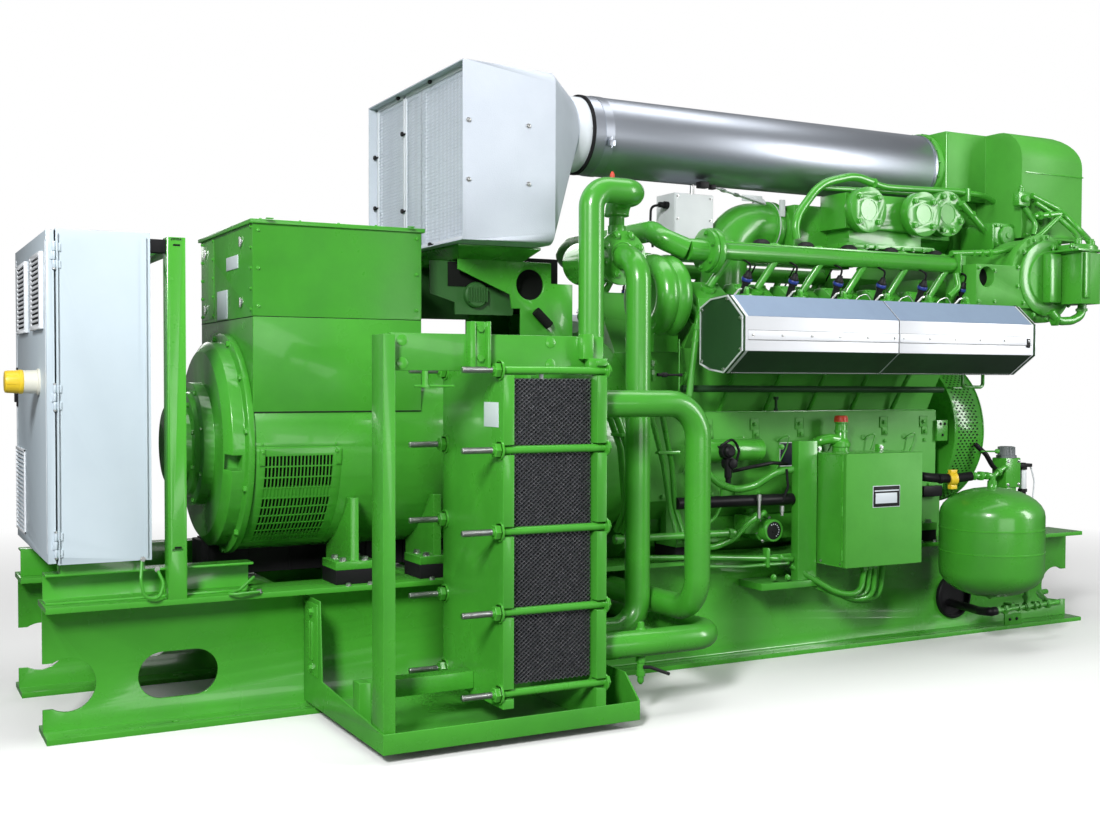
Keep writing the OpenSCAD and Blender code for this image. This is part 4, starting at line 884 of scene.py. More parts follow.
taps = bmesh.new()
turned(taps, (-0.384, -0.6, 1.828), up, [(0, 0.012), (0.012, 0.012), (0.012, 0.008), (0.034, 0.008)], 14)
turned(taps, (-0.276, -0.64, 1.175), (0.94, -0.35, 0), [(0, 0.01), (0.04, 0.01)], 14)
turned(taps, (-0.24, -0.652, 1.15), up,
       [(0, 0.013), (0.014, 0.013), (0.014, 0.009), (0.04, 0.009), (0.04, 0.014), (0.052, 0.014)], 8)
turned(taps, (-0.24, -0.652, 1.126), up, [(0, 0.009), (0.006, 0.012), (0.026, 0.012)], 6)
turned(taps, (-0.492, -0.98, 0.235), (0, 0, -1),
       [(0, 0.012), (0.032, 0.012), (0.032, 0.017), (0.05, 0.017), (0.05, 0.013), (0.078, 0.013),
        (0.078, 0.016), (0.096, 0.016), (0.096, 0.011), (0.116, 0.011), (0.124, 0.005)], 10)
turned(taps, (-0.492, -0.98, 0.292), up,
       [(-0.02, 0.021), (0.004, 0.019), (0.01, 0.013), (0.026, 0.012), (0.029, 0.008), (0.029, 0)], 14)
piece("pipe_taps", taps, machine_green)
vent_cap = bmesh.new()
turned(vent_cap, (-0.384, -0.6, 1.862), up,
       [(0, 0.009), (0.012, 0.009), (0.016, 0.006), (0.022, 0.004), (0.022, 0)], 14)
cap_red = finish("cap_red", (0.62, 0.055, 0.02), (0.5, 0.04, 0.016), 0.35, 0.5, skin=0.03, dust=0.05)
piece("vent_cap", vent_cap, cap_red)
bleed_plug = bmesh.new()
turned(bleed_plug, (-0.226, -0.66, 1.15), (1, -0.05, 0),
       [(0, 0.006), (0.02, 0.006), (0.022, 0.009), (0.04, 0.009), (0.044, 0.004), (0.09, 0.004),
        (0.092, 0.006), (0.105, 0.006)], 12)
tube(bleed_plug, bent([(-0.49, -0.994, 0.17), (-0.464, -0.996, 0.168), (-0.42, -0.992, 0.15),
                       (-0.385, -0.99, 0.136)], 0.02), 0.006, 8)
piece("bleed_plug_and_drain_lever", bleed_plug, lock_black)

lane = bmesh.new()
tube(lane, bent([(0.0495, -0.441, 1.64), (-0.0405, -0.4, 1.68), (-0.0405, -0.33, 1.716),
                 (-0.0405, 0.33, 1.716), (-0.0405, 0.4, 1.68), (0.0495, 0.441, 1.64)], 0.12), 0.042, 24)
piece("rail_crossover_pipe", lane, machine_green)

small_pipes = bmesh.new()
for side in (-1, 1):
    tube(small_pipes, bent([(0.069, side * 0.4, 1.44), (0.069, side * 0.45, 1.42), (0.095, side * 0.45, 1.38),
                            (0.089, side * 0.45, 1.311), (0.055, side * 0.45, 1.053),
                            (0.05, side * 0.36, 1.0)], 0.04), 0.014)
    tube(small_pipes, bent([(0.01, side * 0.45, 1.29), (0.01, side * 0.45, 1.086),
                            (0.012, side * 0.33, 1.06)], 0.02), 0.0032, 8)
    union_nut(small_pipes, (0.09, side * 0.45, 1.335), (0.02, 0, 1), 0.019, 0.022)
    union_nut(small_pipes, (0.086, side * 0.45, 1.285), (0.13, 0, 1), 0.017, 0.018)
for y in (-0.58, -0.53):
    tube(small_pipes, bent([(-0.66, y + 0.06, 1.12), (-0.42, y + 0.02, 1.11), (-0.345, y, 0.99),
                            (-0.3, y, 0.88), (-0.265, y + 0.02, 0.64), (-0.255, y + 0.1, 0.56)], 0.1), 0.015)
for x, z in ((-0.318, 0.93), (-0.288, 0.93)):
    block(small_pipes, (x - 0.022, -0.6, z - 0.006), (x + 0.022, -0.52, z + 0.006), 0.002)
piece("small_water_pipes", small_pipes, machine_green)

# ---- ignition and mixture control ----
# Each cylinder has a spark plug with a black boot, a blue seal and a cable to the rail between the rows.
# A pale sheet-steel box on the engine's back drives the gas throttle through a thin rod.
FIRST_CYLINDER, CYLINDER_PITCH = 0.1675, 0.233
cylinder_x = [FIRST_CYLINDER + CYLINDER_PITCH * i for i in range(6)]
PLUG_Y, COIL_Y, RAIL_Y = 0.445, 0.31, 0.325
boots, rings, leads, strips = bmesh.new(), bmesh.new(), bmesh.new(), bmesh.new()
seal_blue = finish("seal_blue", (0.02, 0.045, 0.3), (0.015, 0.03, 0.2), 0.35, 0.5, skin=0.03, dust=0.03)
cable_black = finish("cable_black", (0.006, 0.006, 0.007), (0.011, 0.011, 0.012), 0.34, 0.48, skin=0.06,
                     dust=0.03, dust_colour=(0.12, 0.12, 0.11))
for side in (-1, 1):
    lean = Vector((0, side * 0.42, 0.91))
    for x in cylinder_x:
        foot = Vector((x + 0.155, side * PLUG_Y, 1.5))
        turned(boots, foot, lean,
               [(-0.03, 0.014), (0.02, 0.014), (0.022, 0.019), (0.05, 0.019), (0.056, 0.014), (0.07, 0.01)],
               18)
        turned(rings, foot + lean * 0.03, lean,
               [(0, 0.0205), (0.003, 0.022), (0.01, 0.022), (0.013, 0.0205)], 20)
        tube(leads, bent([foot + lean * 0.066, foot + lean * 0.1, (x + 0.12, side * 0.4, 1.64),
                          (x + 0.1, side * 0.33, 1.69)], 0.03), 0.0042, 8)
    block(strips, (cylinder_x[0] - 0.02, side * RAIL_Y - 0.042, 1.676),
          (cylinder_x[-1] + 0.16, side * RAIL_Y + 0.042, 1.69), 0.003)
    for x in cylinder_x:
        turned(strips, (x + 0.158, side * COIL_Y, 1.688), up,
               [(0, 0.041), (0.006, 0.041), (0.01, 0.034), (0.012, 0.03)], 28)
piece("spark_plug_boots", boots, lock_black)
piece("spark_plug_seals", rings, seal_blue)
piece("ignition_leads", leads, cable_black)
piece("ignition_rail", strips, enamel)
coils = bmesh.new()
for side in (-1, 1):
    for x in cylinder_x[:-1] + [cylinder_x[-1] + 0.03]:
        turned(coils, (x + 0.105, side * COIL_Y, 1.688), up,
               [(0, 0.037), (0.01, 0.037), (0.02, 0.03), (0.026, 0.018), (0.027, 0)], 28)
piece("ignition_coils", coils, lock_black)

plate_grey = finish("plate_grey", (0.6, 0.63, 0.64), (0.53, 0.56, 0.57), 0.35, 0.5, skin=0.05, dust=0.06)
control = bmesh.new()
block(control, (0.234, -0.07, 1.7), (0.434, 0.07, 1.92), 0.005)
block(control, (0.238, -0.073, 1.703), (0.43, -0.07, 1.917), 0.001)
block(control, (0.628, -0.012, 1.918), (0.737, -0.006, 1.945), 0.002)
turned(control, (0.725, 0.0, 1.905), near, [(-0.01, 0.03), (0.016, 0.03), (0.018, 0.027), (0.018, 0)], 30)
piece("throttle_drive_box", control, plate_grey)
screws("throttle_box_screws", [(p, near, 0.005) for x in (0.25, 0.418)
                               for p in spread((x, -0.073, 1.716), (x, -0.073, 1.904), 3)], zinc)
linkage = bmesh.new()
tube(linkage, bent([(0.425, -0.085, 1.952), (0.737, -0.03, 1.905)]), 0.0042, 8)
turned(linkage, (0.37, 0, 1.91), up, [(0, 0.01), (0.059, 0.01)], 14)
for at in ((0.48, -0.075, 1.944), (0.56, -0.061, 1.932)):
    union_nut(linkage, at, (0.98, 0.17, -0.15), 0.0085, 0.03)
piece("throttle_rod", linkage, zinc)
joints = bmesh.new()
block(joints, (0.35, -0.095, 1.945), (0.395, -0.06, 1.972), 0.003)
block(joints, (0.405, -0.095, 1.942), (0.43, -0.07, 1.962), 0.003)
turned(joints, (0.236, -0.02, 1.871), (-1, 0, 0),
       [(0, 0.016), (0.02, 0.016), (0.022, 0.012), (0.045, 0.012)], 14)
tube(joints, bent([(0.195, -0.02, 1.871), (0.15, -0.02, 1.86), (0.148, -0.02, 1.8), (0.16, -0.02, 1.69)],
                  0.03), 0.0055, 10)
piece("throttle_joints_and_plug", joints, cable_black)
clamp = bmesh.new()
hoop(clamp, 0.76, 0.004, 0.0995, 0.1135, z=1.81, sides=56)
block(clamp, (0.761, -0.114, 1.846), (0.785, -0.098, 1.92), 0.003)
piece("mixture_collar_clamp", clamp, plate_grey)

# ---- bolts and blanked outlets on the engine's top ----
# Screws hold the rocker covers and the flanges of the water rails. The three open outlets of the flange
# block are shut with blanks behind a machined sealing face, with nuts on studs round each one.
cover_bolts = []
for side in (-1, 1):
    for x in cylinder_x:
        for dx, w in ((-0.07, -0.045), (0.07, -0.045), (0.0, 0.05)):
            start = Vector((x + dx, side * (0.42 + w), 1.7))
            spot, facing = landed("rocker_covers", start, (0, 0, -1))
            if spot:
                cover_bolts.append((spot, facing, 0.0075))
screws("rocker_cover_bolts", cover_bolts, machine_green)
rail_bolts = []
for side in (-1, 1):
    rail_bolts += [(p, (-1, 0, 0), 0.008)
                   for p in ring_of((0.1275, side * 0.441, 1.64), (-1, 0, 0), 0.066, 6, 0.3)]
screws("rail_flange_bolts", rail_bolts, machine_green)

OUTLETS = ((1.042, -0.36, 1.866), (1.358, -0.36, 1.866), (1.58, -0.28, 1.89))
outlet_nuts = []
for (x, y, z), n, radius in zip(OUTLETS, (4, 4, 8), (0.075, 0.075, 0.082)):
    outlet_nuts += [(p, near, 0.0135) for p in ring_of((x, y + 0.001, z), near, radius, n, math.pi / n)]
screws("outlet_flange_nuts", outlet_nuts, machine_green)
faces, necks = bmesh.new(), bmesh.new()
for x, y, z in OUTLETS:
    turned(necks, (x, y + 0.003, z), near,
           [(0, 0.0408), (0, 0.038), (-0.024, 0.038), (-0.024, 0), (-0.03, 0), (-0.03, 0.0408)], 40)
    turned(faces, (x, y + 0.001, z), near,
           [(0, 0.048), (0.0026, 0.047), (0.0026, 0.042), (-0.004, 0.0412), (-0.004, 0.048)], 48)
piece("outlet_blanks", necks, enamel)
piece("outlet_sealing_faces", faces, enamel)
foot_screws = []
for x in (0.94, 1.0, 1.07, 1.124, 1.213, 1.275, 1.338, 1.4, 1.455):
    spot, facing = landed("coolant_flange_block", (x, -1.0, 1.712), (0, 1, 0))
    if spot:
        foot_screws.append((spot, facing, 0.0085))
screws("outlet_block_screws", foot_screws, machine_green)

# ---- exhaust shields ----
# Long boxes of bright sheet steel hide the hot exhaust runs on both sides. A pressed strip with screws
# covers the middle joint line, rivets hold the lower sheet, and dark green plates close the ends. The
# blue-grey sheets on the upper faces are a painted reflection; the dark green sheets on the lower faces are
# painted reflection and painted shade.
shield_low, shield_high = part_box("heat_shields")
shield_middle = (shield_low.x + shield_high.x) / 2
shield_steel = finish("shield_steel", (0.74, 0.76, 0.79), (0.69, 0.71, 0.74), 0.5, 0.58, grain_scale=60,
                      skin=0.01, dust=0.0, metal=0.5, slot="bare_steel")
# Blue-grey, for the thin sheets on the upper faces: a painted reflection.
shield_painted_reflection = finish("shield_upper_painted_reflection", (0.27, 0.36, 0.49), (0.24, 0.32, 0.44), 0.5, 0.58, skin=0.01,
                     dust=0.0, metal=0.4)
# Dark green, for the thin sheets on the lower faces: painted reflection and painted shade.
shield_painted_shade = finish("shield_lower_painted_shade", (0.03, 0.06, 0.036), (0.022, 0.044, 0.026), 0.35, 0.5, skin=0.02,
                     dust=0.0, metal=0.3)
# A dark green, for the shield end caps and seals and the rails under the shields; on the rails it is painted
# shade.
cap_green = finish("shield_cap_green", (0.022, 0.07, 0.024), (0.016, 0.05, 0.018), 0.35, 0.5, skin=0.05,
                   dust=0.05)
frame["nodes"]["heat_shields"].data.materials[0] = shield_steel
frame["nodes"]["shield_end_caps"].data.materials[0] = cap_green
strip, under, over, beads, rivets, seam = bmesh.new(), bmesh.new(), bmesh.new(), bmesh.new(), [], bmesh.new()
SHIELD_Y = 0.876
section = [(0.876, 1.237), (0.876, 1.362), (0.784, 1.442), (0.676, 1.434), (0.608, 1.404), (0.608, 1.191),
           (0.671, 1.168), (0.761, 1.157)]
for side in (-1, 1):
    for x0, x1 in ((shield_low.x + 0.012, shield_middle - 0.004),
                   (shield_middle + 0.004, shield_high.x - 0.012)):
        flank(strip, side, (x0, SHIELD_Y, 1.278), (x1, SHIELD_Y + 0.0022, 1.311), 0.0008)
        ends = ((x, side * (SHIELD_Y + 0.002), 1.2945) for x in (x0 + 0.02, x1 - 0.02))
        rivets += [(p, (0, side, 0), 0.0045) for p in spread(*ends, 6)]
        for sheet, first, last in ((under, 0, 7), (over, 1, 2), (over, 2, 3)):
            (y0, z0), (y1, z1) = section[first], section[last]
            out_y, out_z = (0.57, -0.82) if sheet is under else (0.64, 0.76)
            lift = Vector((0, side * out_y, out_z)) * 0.0012
            lower = [sheet.verts.new((x, side * y, z))
                     for x, y, z in ((x0, y0, z0), (x1, y0, z0), (x1, y1, z1), (x0, y1, z1))]
            raised = [sheet.verts.new(v.co + lift) for v in lower]
            edges = [(lower[k - 1], lower[k], raised[k], raised[k - 1]) for k in range(4)]
            for ring in [lower, raised] + edges:
                sheet.faces.new(ring)
        for z in (1.2765, 1.3115):
            flank(seam, side, (x0, SHIELD_Y, z - 0.0007), (x1, SHIELD_Y + 0.0012, z + 0.0007), 0)
        for p in spread((x0 + 0.006, side * 0.766, 1.16), (x1 - 0.006, side * 0.766, 1.16), 74):
            turned(beads, p, (0, side * 0.57, -0.82), [(0, 0.002), (0.0022, 0.0018), (0.003, 0.0008)], 5)
    for (y0, z0), (y1, z1) in zip(section[:3], section[1:4]):
        steps = (Vector((shield_middle - 0.0016, side * y, z)) for y, z in ((y0, z0), (y1, z1)))
        tube(seam, [p + Vector((0, side * 0.0002, 0)) for p in steps], 0.0016, 6)
    flank(seam, side, (shield_high.x - 0.04, SHIELD_Y, 1.268),
          (shield_high.x - 0.022, SHIELD_Y + 0.004, 1.304), 0.001)
piece("shield_strips", strip, shield_steel)
piece("shield_lower_shade_sheets", under, shield_painted_shade)
piece("shield_upper_reflection_sheets", over, shield_painted_reflection)
piece("shield_rivets", beads, shield_steel)
end_seals = bmesh.new()
for side in (-1, 1):
    for x in (shield_low.x + 0.001, shield_high.x - 0.001):
        tube(end_seals, bent([(x, side * y, z) for y, z in section[2:7]], 0.01), 0.005, 8)
piece("shield_end_seals", end_seals, cap_green)
piece("shield_joint_lines", seam, lock_black)
screws("shield_strip_screws", rivets, zinc, sides=12)
rims, rim_screws = bmesh.new(), []
for side in (-1, 1):
    for x, way in ((shield_low.x - 0.0115, -1), (shield_high.x + 0.0115, 1)):
        corners = [Vector((x, side * y, z)) for y, z in section]
        middle = sum(corners, Vector()) / len(corners)
        for k in range(len(corners)):
            a, b = corners[k - 1], corners[k]
            inner_a, inner_b = a.lerp(middle, 0.045), b.lerp(middle, 0.045)
            ring = [rims.verts.new(p + Vector((d, 0, 0))) for d in (0, way * 0.003)
                    for p in (a, b, inner_b, inner_a)]
            for q in ((0, 1, 2, 3), (4, 5, 6, 7), (0, 1, 5, 4), (1, 2, 6, 5), (2, 3, 7, 6), (3, 0, 4, 7)):
                rims.faces.new([ring[j] for j in q])
        for c in (0, 1, 2, 4, 5, 7):
            rim_screws.append((corners[c].lerp(middle, 0.1), (way, 0, 0), 0.006))
piece("shield_end_rims", rims, shield_steel)
screws("shield_end_screws", rim_screws, zinc)
hooks = bmesh.new()
for side in (-1, 1):
    tube(hooks, bent([(1.334, side * 0.62, 1.185), (1.334, side * 0.62, 1.105), (1.451, side * 0.62, 1.105),
                      (1.451, side * 0.62, 1.185)], 0.02), 0.0075, 10)
    block(hooks, (1.28, side * 0.6 - 0.02, 1.098), (1.42, side * 0.6 + 0.02, 1.104), 0.001)
piece("shield_hooks", hooks, machine_green)
lugs, clips, bails = bmesh.new(), bmesh.new(), bmesh.new()
for side in (-1, 1):
    for k, x in enumerate((0.166, 0.425, 0.644, 0.872, 1.099, 1.311)):
        turned(lugs, (x + 0.04, side * 0.615, 1.462), (0.9, side * 0.42, 0),
               [(-0.007, 0.024), (-0.005, 0.028), (0.005, 0.028), (0.007, 0.024)], 22)
        block(lugs, (x + 0.016, side * 0.615 - 0.01, 1.41), (x + 0.06, side * 0.615 + 0.01, 1.462), 0.004)
        tube(clips, bent([(x - 0.022, side * 0.6, 1.442), (x + 0.004, side * 0.615, 1.476),
                          (x + 0.016, side * 0.615, 1.48)], 0.01), 0.0045, 8)
        if k > 2:
            tube(bails, bent([(x - 0.135, side * 0.618, 1.448), (x - 0.11, side * 0.618, 1.47),
                              (x - 0.07, side * 0.618, 1.484), (x - 0.045, side * 0.618, 1.452)], 0.03),
                 0.0018, 8)
piece("exhaust_clamp_lugs", lugs, machine_green)
piece("exhaust_clamp_bolts", clips, zinc)
piece("exhaust_clamp_bails", bails, zinc)

# ---- crankcase side ----
# The cast crankcase carries bolted bearing tabs along each side, with wire loops below them. Starter plug,
# nameplate, hoses and the lube pump with its dial sit in front of the sump on the near side.
WALL = 0.32  # the crankcase wall, from the middle
case_low, case_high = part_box("crankcase")
tabs, tab_bolts, loops = bmesh.new(), [], bmesh.new()
for side in (-1, 1):
    for x in cylinder_x:
        x += 0.067
        flank(tabs, side, (x - 0.02, WALL, 0.925), (x + 0.024, WALL + 0.004, 0.975), 0.0035)
        flank(tabs, side, (x - 0.006, WALL, 0.893), (x + 0.026, WALL + 0.004, 0.93), 0.0035)
        tab_bolts += [((x + dx, side * (WALL + 0.004), z), (0, side, 0), 0.0085)
                      for dx, z in ((0.002, 0.95), (0.01, 0.906))]
        tab_bolts.append(((x + 0.01, side * WALL, 0.868), (0, side, 0), 0.0075))
        tube(loops, bent([(x - 0.11, side * 0.321, 0.875), (x - 0.11, side * 0.345, 0.893),
                          (x - 0.07, side * 0.352, 0.905), (x - 0.085, side * 0.345, 0.845),
                          (x - 0.125, side * 0.33, 0.76)], 0.02), 0.0028, 8)
    tab_bolts += [((x, side * (WALL - 0.055), 1.0), (0, 0, 1), 0.008) for x in (-0.1, -0.02)]
    ends = ((case_low.x + 0.03, side * WALL, z) for z in (0.69, 0.96))
    tab_bolts += [(p, (0, side, 0), 0.01) for p in spread(*ends, 5)]
    tab_bolts += [(p, (0, side, 0), 0.009)
                  for p in spread((0.02, side * WALL, 0.668), (1.44, side * WALL, 0.668), 13)]
piece("bearing_tabs", tabs, cast_green)
screws("crankcase_bolts", tab_bolts, cast_green)
piece("sensor_wires", loops, machine_green)

ribs = bmesh.new()
for side in (-1, 1):
    flank(ribs, side, (case_low.x + 0.012, 0.266, 0.9985), (case_high.x - 0.012, 0.322, 1.004), 0.001)
    for x in cylinder_x:
        tube(ribs, bent([(x - 0.085, side * 0.285, 1.004), (x - 0.085, side * 0.33, 1.07),
                         (x - 0.075, side * 0.385, 1.16)], 0.02), 0.01, 10)
block(ribs, (1.47, -0.336, 0.862), (1.536, -0.324, 0.955), 0.002)
block(ribs, (1.47, 0.324, 0.862), (1.536, 0.336, 0.955), 0.002)
piece("crankcase_ribs", ribs, machine_green)
screws("end_bracket_screws",
       [((x, side * 0.336, z), (0, side, 0), 0.005) for side in (-1, 1)
        for x, z in ((1.492, 0.938), (1.518, 0.938), (1.505, 0.888))], lock_black)

plugs = bmesh.new()
turned(plugs, (0.246, -0.425, 0.85), near,
       [(-0.01, 0.03), (0.022, 0.03), (0.024, 0.025), (0.04, 0.024), (0.046, 0.016), (0.046, 0)], 24)
turned(plugs, (0.262, -0.425, 0.8), near,
       [(-0.01, 0.026), (0.018, 0.026), (0.02, 0.02), (0.04, 0.019), (0.043, 0.012), (0.043, 0)], 24)
turned(plugs, (0.252, -0.44, 0.795), (0, 0, -1),
       [(-0.02, 0.015), (0.05, 0.015), (0.054, 0.011), (0.085, 0.011)], 16)
tube(plugs, bent([(0.22, -0.44, 0.872), (0.25, -0.465, 0.9), (0.29, -0.44, 0.88), (0.306, -0.44, 0.85),
                  (0.298, -0.43, 0.8)], 0.03), 0.0055, 8)
tube(plugs, bent([(0.18, -0.335, 0.905), (0.222, -0.43, 0.862)], 0.02), 0.005, 8)
tube(plugs, bent([(0.3, -0.4, 0.765), (0.385, -0.44, 0.786), (0.467, -0.44, 0.797), (0.56, -0.42, 0.79)],
                 0.05), 0.0075, 10)
tube(plugs, bent([(0.52, -0.47, 0.772), (0.524, -0.475, 0.7), (0.5, -0.47, 0.64)], 0.03), 0.0055, 8)
tube(plugs, bent([(0.0, -0.45, 0.652), (0.564, -0.45, 0.648)]), 0.023, 18)
block(plugs, (0.38, -0.47, 0.632), (0.4, -0.426, 0.668), 0.003)
piece("starter_plug_and_cables", plugs, cable_black)
rods = bmesh.new()
for x, z0, z1 in ((0.375, 0.58, 0.675), (0.49, 0.585, 0.625)):
    turned(rods, (x, -0.48, z0), up,
           [(0, 0.007), (z1 - z0 - 0.024, 0.007), (z1 - z0 - 0.024, 0.01), (z1 - z0, 0.01)], 14)
piece("dipstick_rods", rods, zinc)

plate = bmesh.new()
block(plate, (0.601, -0.3225, 0.771), (0.688, -0.32, 0.872), 0.0005)
piece("engine_plate", plate, plate_grey)
plate_ink = finish("plate_ink", (0.01, 0.013, 0.02), (0.015, 0.019, 0.028), 0.35, 0.5, skin=0.02, dust=0.03)
dark = bmesh.new()
block(dark, (0.603, -0.3232, 0.776), (0.686, -0.3224, 0.869), 0)
piece("engine_plate_field", dark, plate_ink)
bars = bmesh.new()
for k in range(7):
    block(bars, (0.668, -0.3238, 0.786 + k * 0.011), (0.684, -0.323, 0.79 + k * 0.011), 0)
piece("engine_plate_bars", bars, label_white)

hoses = bmesh.new()
tube(hoses, bent([(0.085, -0.43, 0.86), (0.118, -0.45, 0.79), (0.2, -0.45, 0.721), (0.288, -0.45, 0.694),
                  (0.378, -0.45, 0.707), (0.478, -0.45, 0.757), (0.6, -0.44, 0.77)], 0.16), 0.015, 14,
     rib=0.006)
tube(hoses, bent([(0.224, -0.44, 0.7), (0.21, -0.45, 0.635), (0.177, -0.45, 0.577), (0.1, -0.45, 0.552)],
                 0.09), 0.008, 12, rib=0.005)
tube(hoses, bent([(0.395, -0.45, 0.585), (0.34, -0.455, 0.56), (0.27, -0.455, 0.5), (0.18, -0.45, 0.47),
                  (0.06, -0.44, 0.49)], 0.1), 0.013, 14, rib=0.006)
tube(hoses, bent([(-0.135, -0.44, 1.06), (-0.119, -0.45, 0.997), (-0.062, -0.45, 0.812), (-0.03, -0.45, 0.64),
                  (0.02, -0.44, 0.5)], 0.16), 0.011, 12, rib=0.004)
tube(hoses, bent([(-0.08, -0.43, 1.06), (-0.063, -0.44, 1.001), (-0.017, -0.44, 0.811), (0.0, -0.44, 0.64),
                  (0.06, -0.43, 0.5)], 0.16), 0.011, 12, rib=0.004)
block(hoses, (-0.092, -0.466, 0.846), (0.008, -0.44, 0.858), 0.003)
piece("green_hoses", hoses, machine_green)
side_pipes = bmesh.new()
tube(side_pipes, bent([(-0.275, -0.47, 0.53), (0.262, -0.47, 0.527)]), 0.0145, 14)
turned(side_pipes, (-0.275, -0.47, 0.53), (-1, 0, 0),
       [(-0.01, 0.019), (0.014, 0.019), (0.018, 0.013), (0.018, 0)], 16)
union_nut(side_pipes, (0.238, -0.47, 0.527), (1, 0, 0), 0.021, 0.024)
tube(side_pipes, bent([(-0.16, -0.455, 0.452), (0.094, -0.455, 0.436), (0.52, -0.455, 0.406)]), 0.01, 12)
piece("side_pipes", side_pipes, machine_green)
end_feet, terminals = bmesh.new(), bmesh.new()
for side in (-1, 1):
    flank(end_feet, side, (1.3, 0.06, 0.424), (1.528, 0.3, 0.655), 0.004)
    flank(end_feet, side, (1.27, 0.06, 0.648), (1.536, 0.312, 0.672), 0.003)
    flank(terminals, side, (1.392, 0.31, 0.613), (1.505, 0.34, 0.661), 0.004)
piece("free_end_feet", end_feet, cast_green)
piece("free_end_terminals", terminals, cable_black)
# Rails under the shields in the dark cap green: painted shade under the shields.
rail = bmesh.new()
for side in (-1, 1):
    tube(rail, bent([(0.06, side * 0.395, 1.098), (1.44, side * 0.395, 1.092)]), 0.014, 12)
    turned(rail, (0.561, side * 0.345, 1.004), up,
           [(0, 0.01), (0.012, 0.01), (0.012, 0.006), (0.046, 0.006), (0.048, 0.011), (0.06, 0.011)], 12)
piece("under_shield_rails", rail, cap_green)
lines = bmesh.new()
tube(lines, bent([(0.02, -0.45, 0.523), (0.255, -0.45, 0.521)]), 0.0135, 16)
union_nut(lines, (0.262, -0.45, 0.521), (1, 0, 0), 0.021, 0.022)
union_nut(lines, (0.388, -0.45, 0.582), (0.7, 0, 0.35), 0.018, 0.028)
tube(lines, bent([(0.388, -0.45, 0.582), (0.43, -0.44, 0.598), (0.47, -0.4, 0.58)], 0.03), 0.0125, 14)
tube(lines, bent([(0.06, -0.458, 0.44), (0.56, -0.458, 0.403)]), 0.012, 14)
tube(lines, bent([(0.06, -0.462, 0.405), (0.3, -0.462, 0.388), (0.54, -0.462, 0.388)], 0.2), 0.007, 10)
for x in (0.1, 0.43):
    block(lines, (x - 0.008, -0.474, 0.378), (x + 0.008, -0.444, 0.455), 0.003)
tube(lines, bent([(0.06, -0.435, 0.64), (0.06, -0.435, 0.48), (0.15, -0.43, 0.455)], 0.05), 0.008, 10)
piece("sump_pipes", lines, machine_green)

pump_low, pump_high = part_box("oil_pump")
pump = Vector(((pump_low.x + pump_high.x) / 2, pump_low.y, (pump_low.z + pump_high.z) / 2))
pump_body = bmesh.new()
turned(pump_body, pump + Vector((0, 0.05, 0)), near,
       [(-0.1, 0.047), (-0.1, 0.052), (0.0, 0.052), (0.002, 0.047)], 36)
block(pump_body, (pump.x - 0.11, pump.y + 0.04, pump.z - 0.015),
      (pump.x - 0.03, pump.y + 0.12, pump.z + 0.062), 0.01)
turned(pump_body, (pump.x - 0.062, pump.y + 0.06, pump.z + 0.04), up,
       [(0, 0.018), (0.03, 0.018), (0.034, 0.024), (0.046, 0.024)], 20)
turned(pump_body, pump, near,
       [(-0.004, 0.0455), (0.006, 0.0455), (0.008, 0.043), (0.008, 0.037), (-0.004, 0.037), (-0.004, 0.0455)],
       40)
piece("lube_pump_body", pump_body, machine_green)
screws("lube_pump_screws",
       [(p, near, 0.006) for p in ring_of(pump + Vector((0, 0.048, 0)), near, 0.0495, 6, 0.2)], zinc)
dial = bmesh.new()
turned(dial, pump, near,
       [(-0.002, 0.0365), (0.004, 0.0365), (0.005, 0.034), (0.005, 0.01), (0.009, 0.008), (0.009, 0)], 36)
piece("lube_pump_dial", dial, lock_black)
ticks = bmesh.new()
for k in range(9):
    a = math.radians(-60 + 22 * k)
    p = pump + Vector((0.026 * math.cos(a), -0.0054, 0.026 * math.sin(a)))
    block(ticks, p - Vector((0.002, 0.0006, 0.002)), p + Vector((0.002, 0.0006, 0.002)), 0)
piece("lube_pump_ticks", ticks, label_white)

# ---- oil filler and damper guard ----
# A moulded red cap closes the filler on its cast neck. The guard round the vibration damper is a drum of
# punched sheet: rows of short slots, staggered from one row to the next, between solid edges.
FILLER_X, FILLER_Y = 0.862, -0.4
neck = bmesh.new()
turned(neck, (FILLER_X, FILLER_Y, 0.8), up,
       [(0, 0.036), (0.05, 0.036), (0.054, 0.041), (0.07, 0.041), (0.074, 0.036), (0.092, 0.025),
        (0.15, 0.024), (0.152, 0.028), (0.158, 0.028)], 30)
tube(neck, bent([(0.76, -0.325, 0.85), (0.758, -0.385, 0.878), (0.8, -0.4, 0.888),
                 (FILLER_X, FILLER_Y, 0.88)], 0.05), 0.022, 18)
union_nut(neck, (FILLER_X, FILLER_Y, 0.918), up, 0.03, 0.016)
piece("oil_filler_neck", neck, machine_green)
filler_cap = bmesh.new()
turned(filler_cap, (FILLER_X, FILLER_Y, 0.954), up,
       [(0, 0.024), (0.002, 0.027), (0.024, 0.027), (0.029, 0.024), (0.03, 0.018), (0.03, 0)], 30)
for k in range(14):
    a = k * math.pi / 7
    p = Vector((FILLER_X, FILLER_Y, 0.956)) + Vector((0.027 * math.cos(a), 0.027 * math.sin(a), 0))
    turned(filler_cap, p, up, [(0, 0.0022), (0.02, 0.0022)], 6)
piece("oil_filler_cap", filler_cap, cap_red)

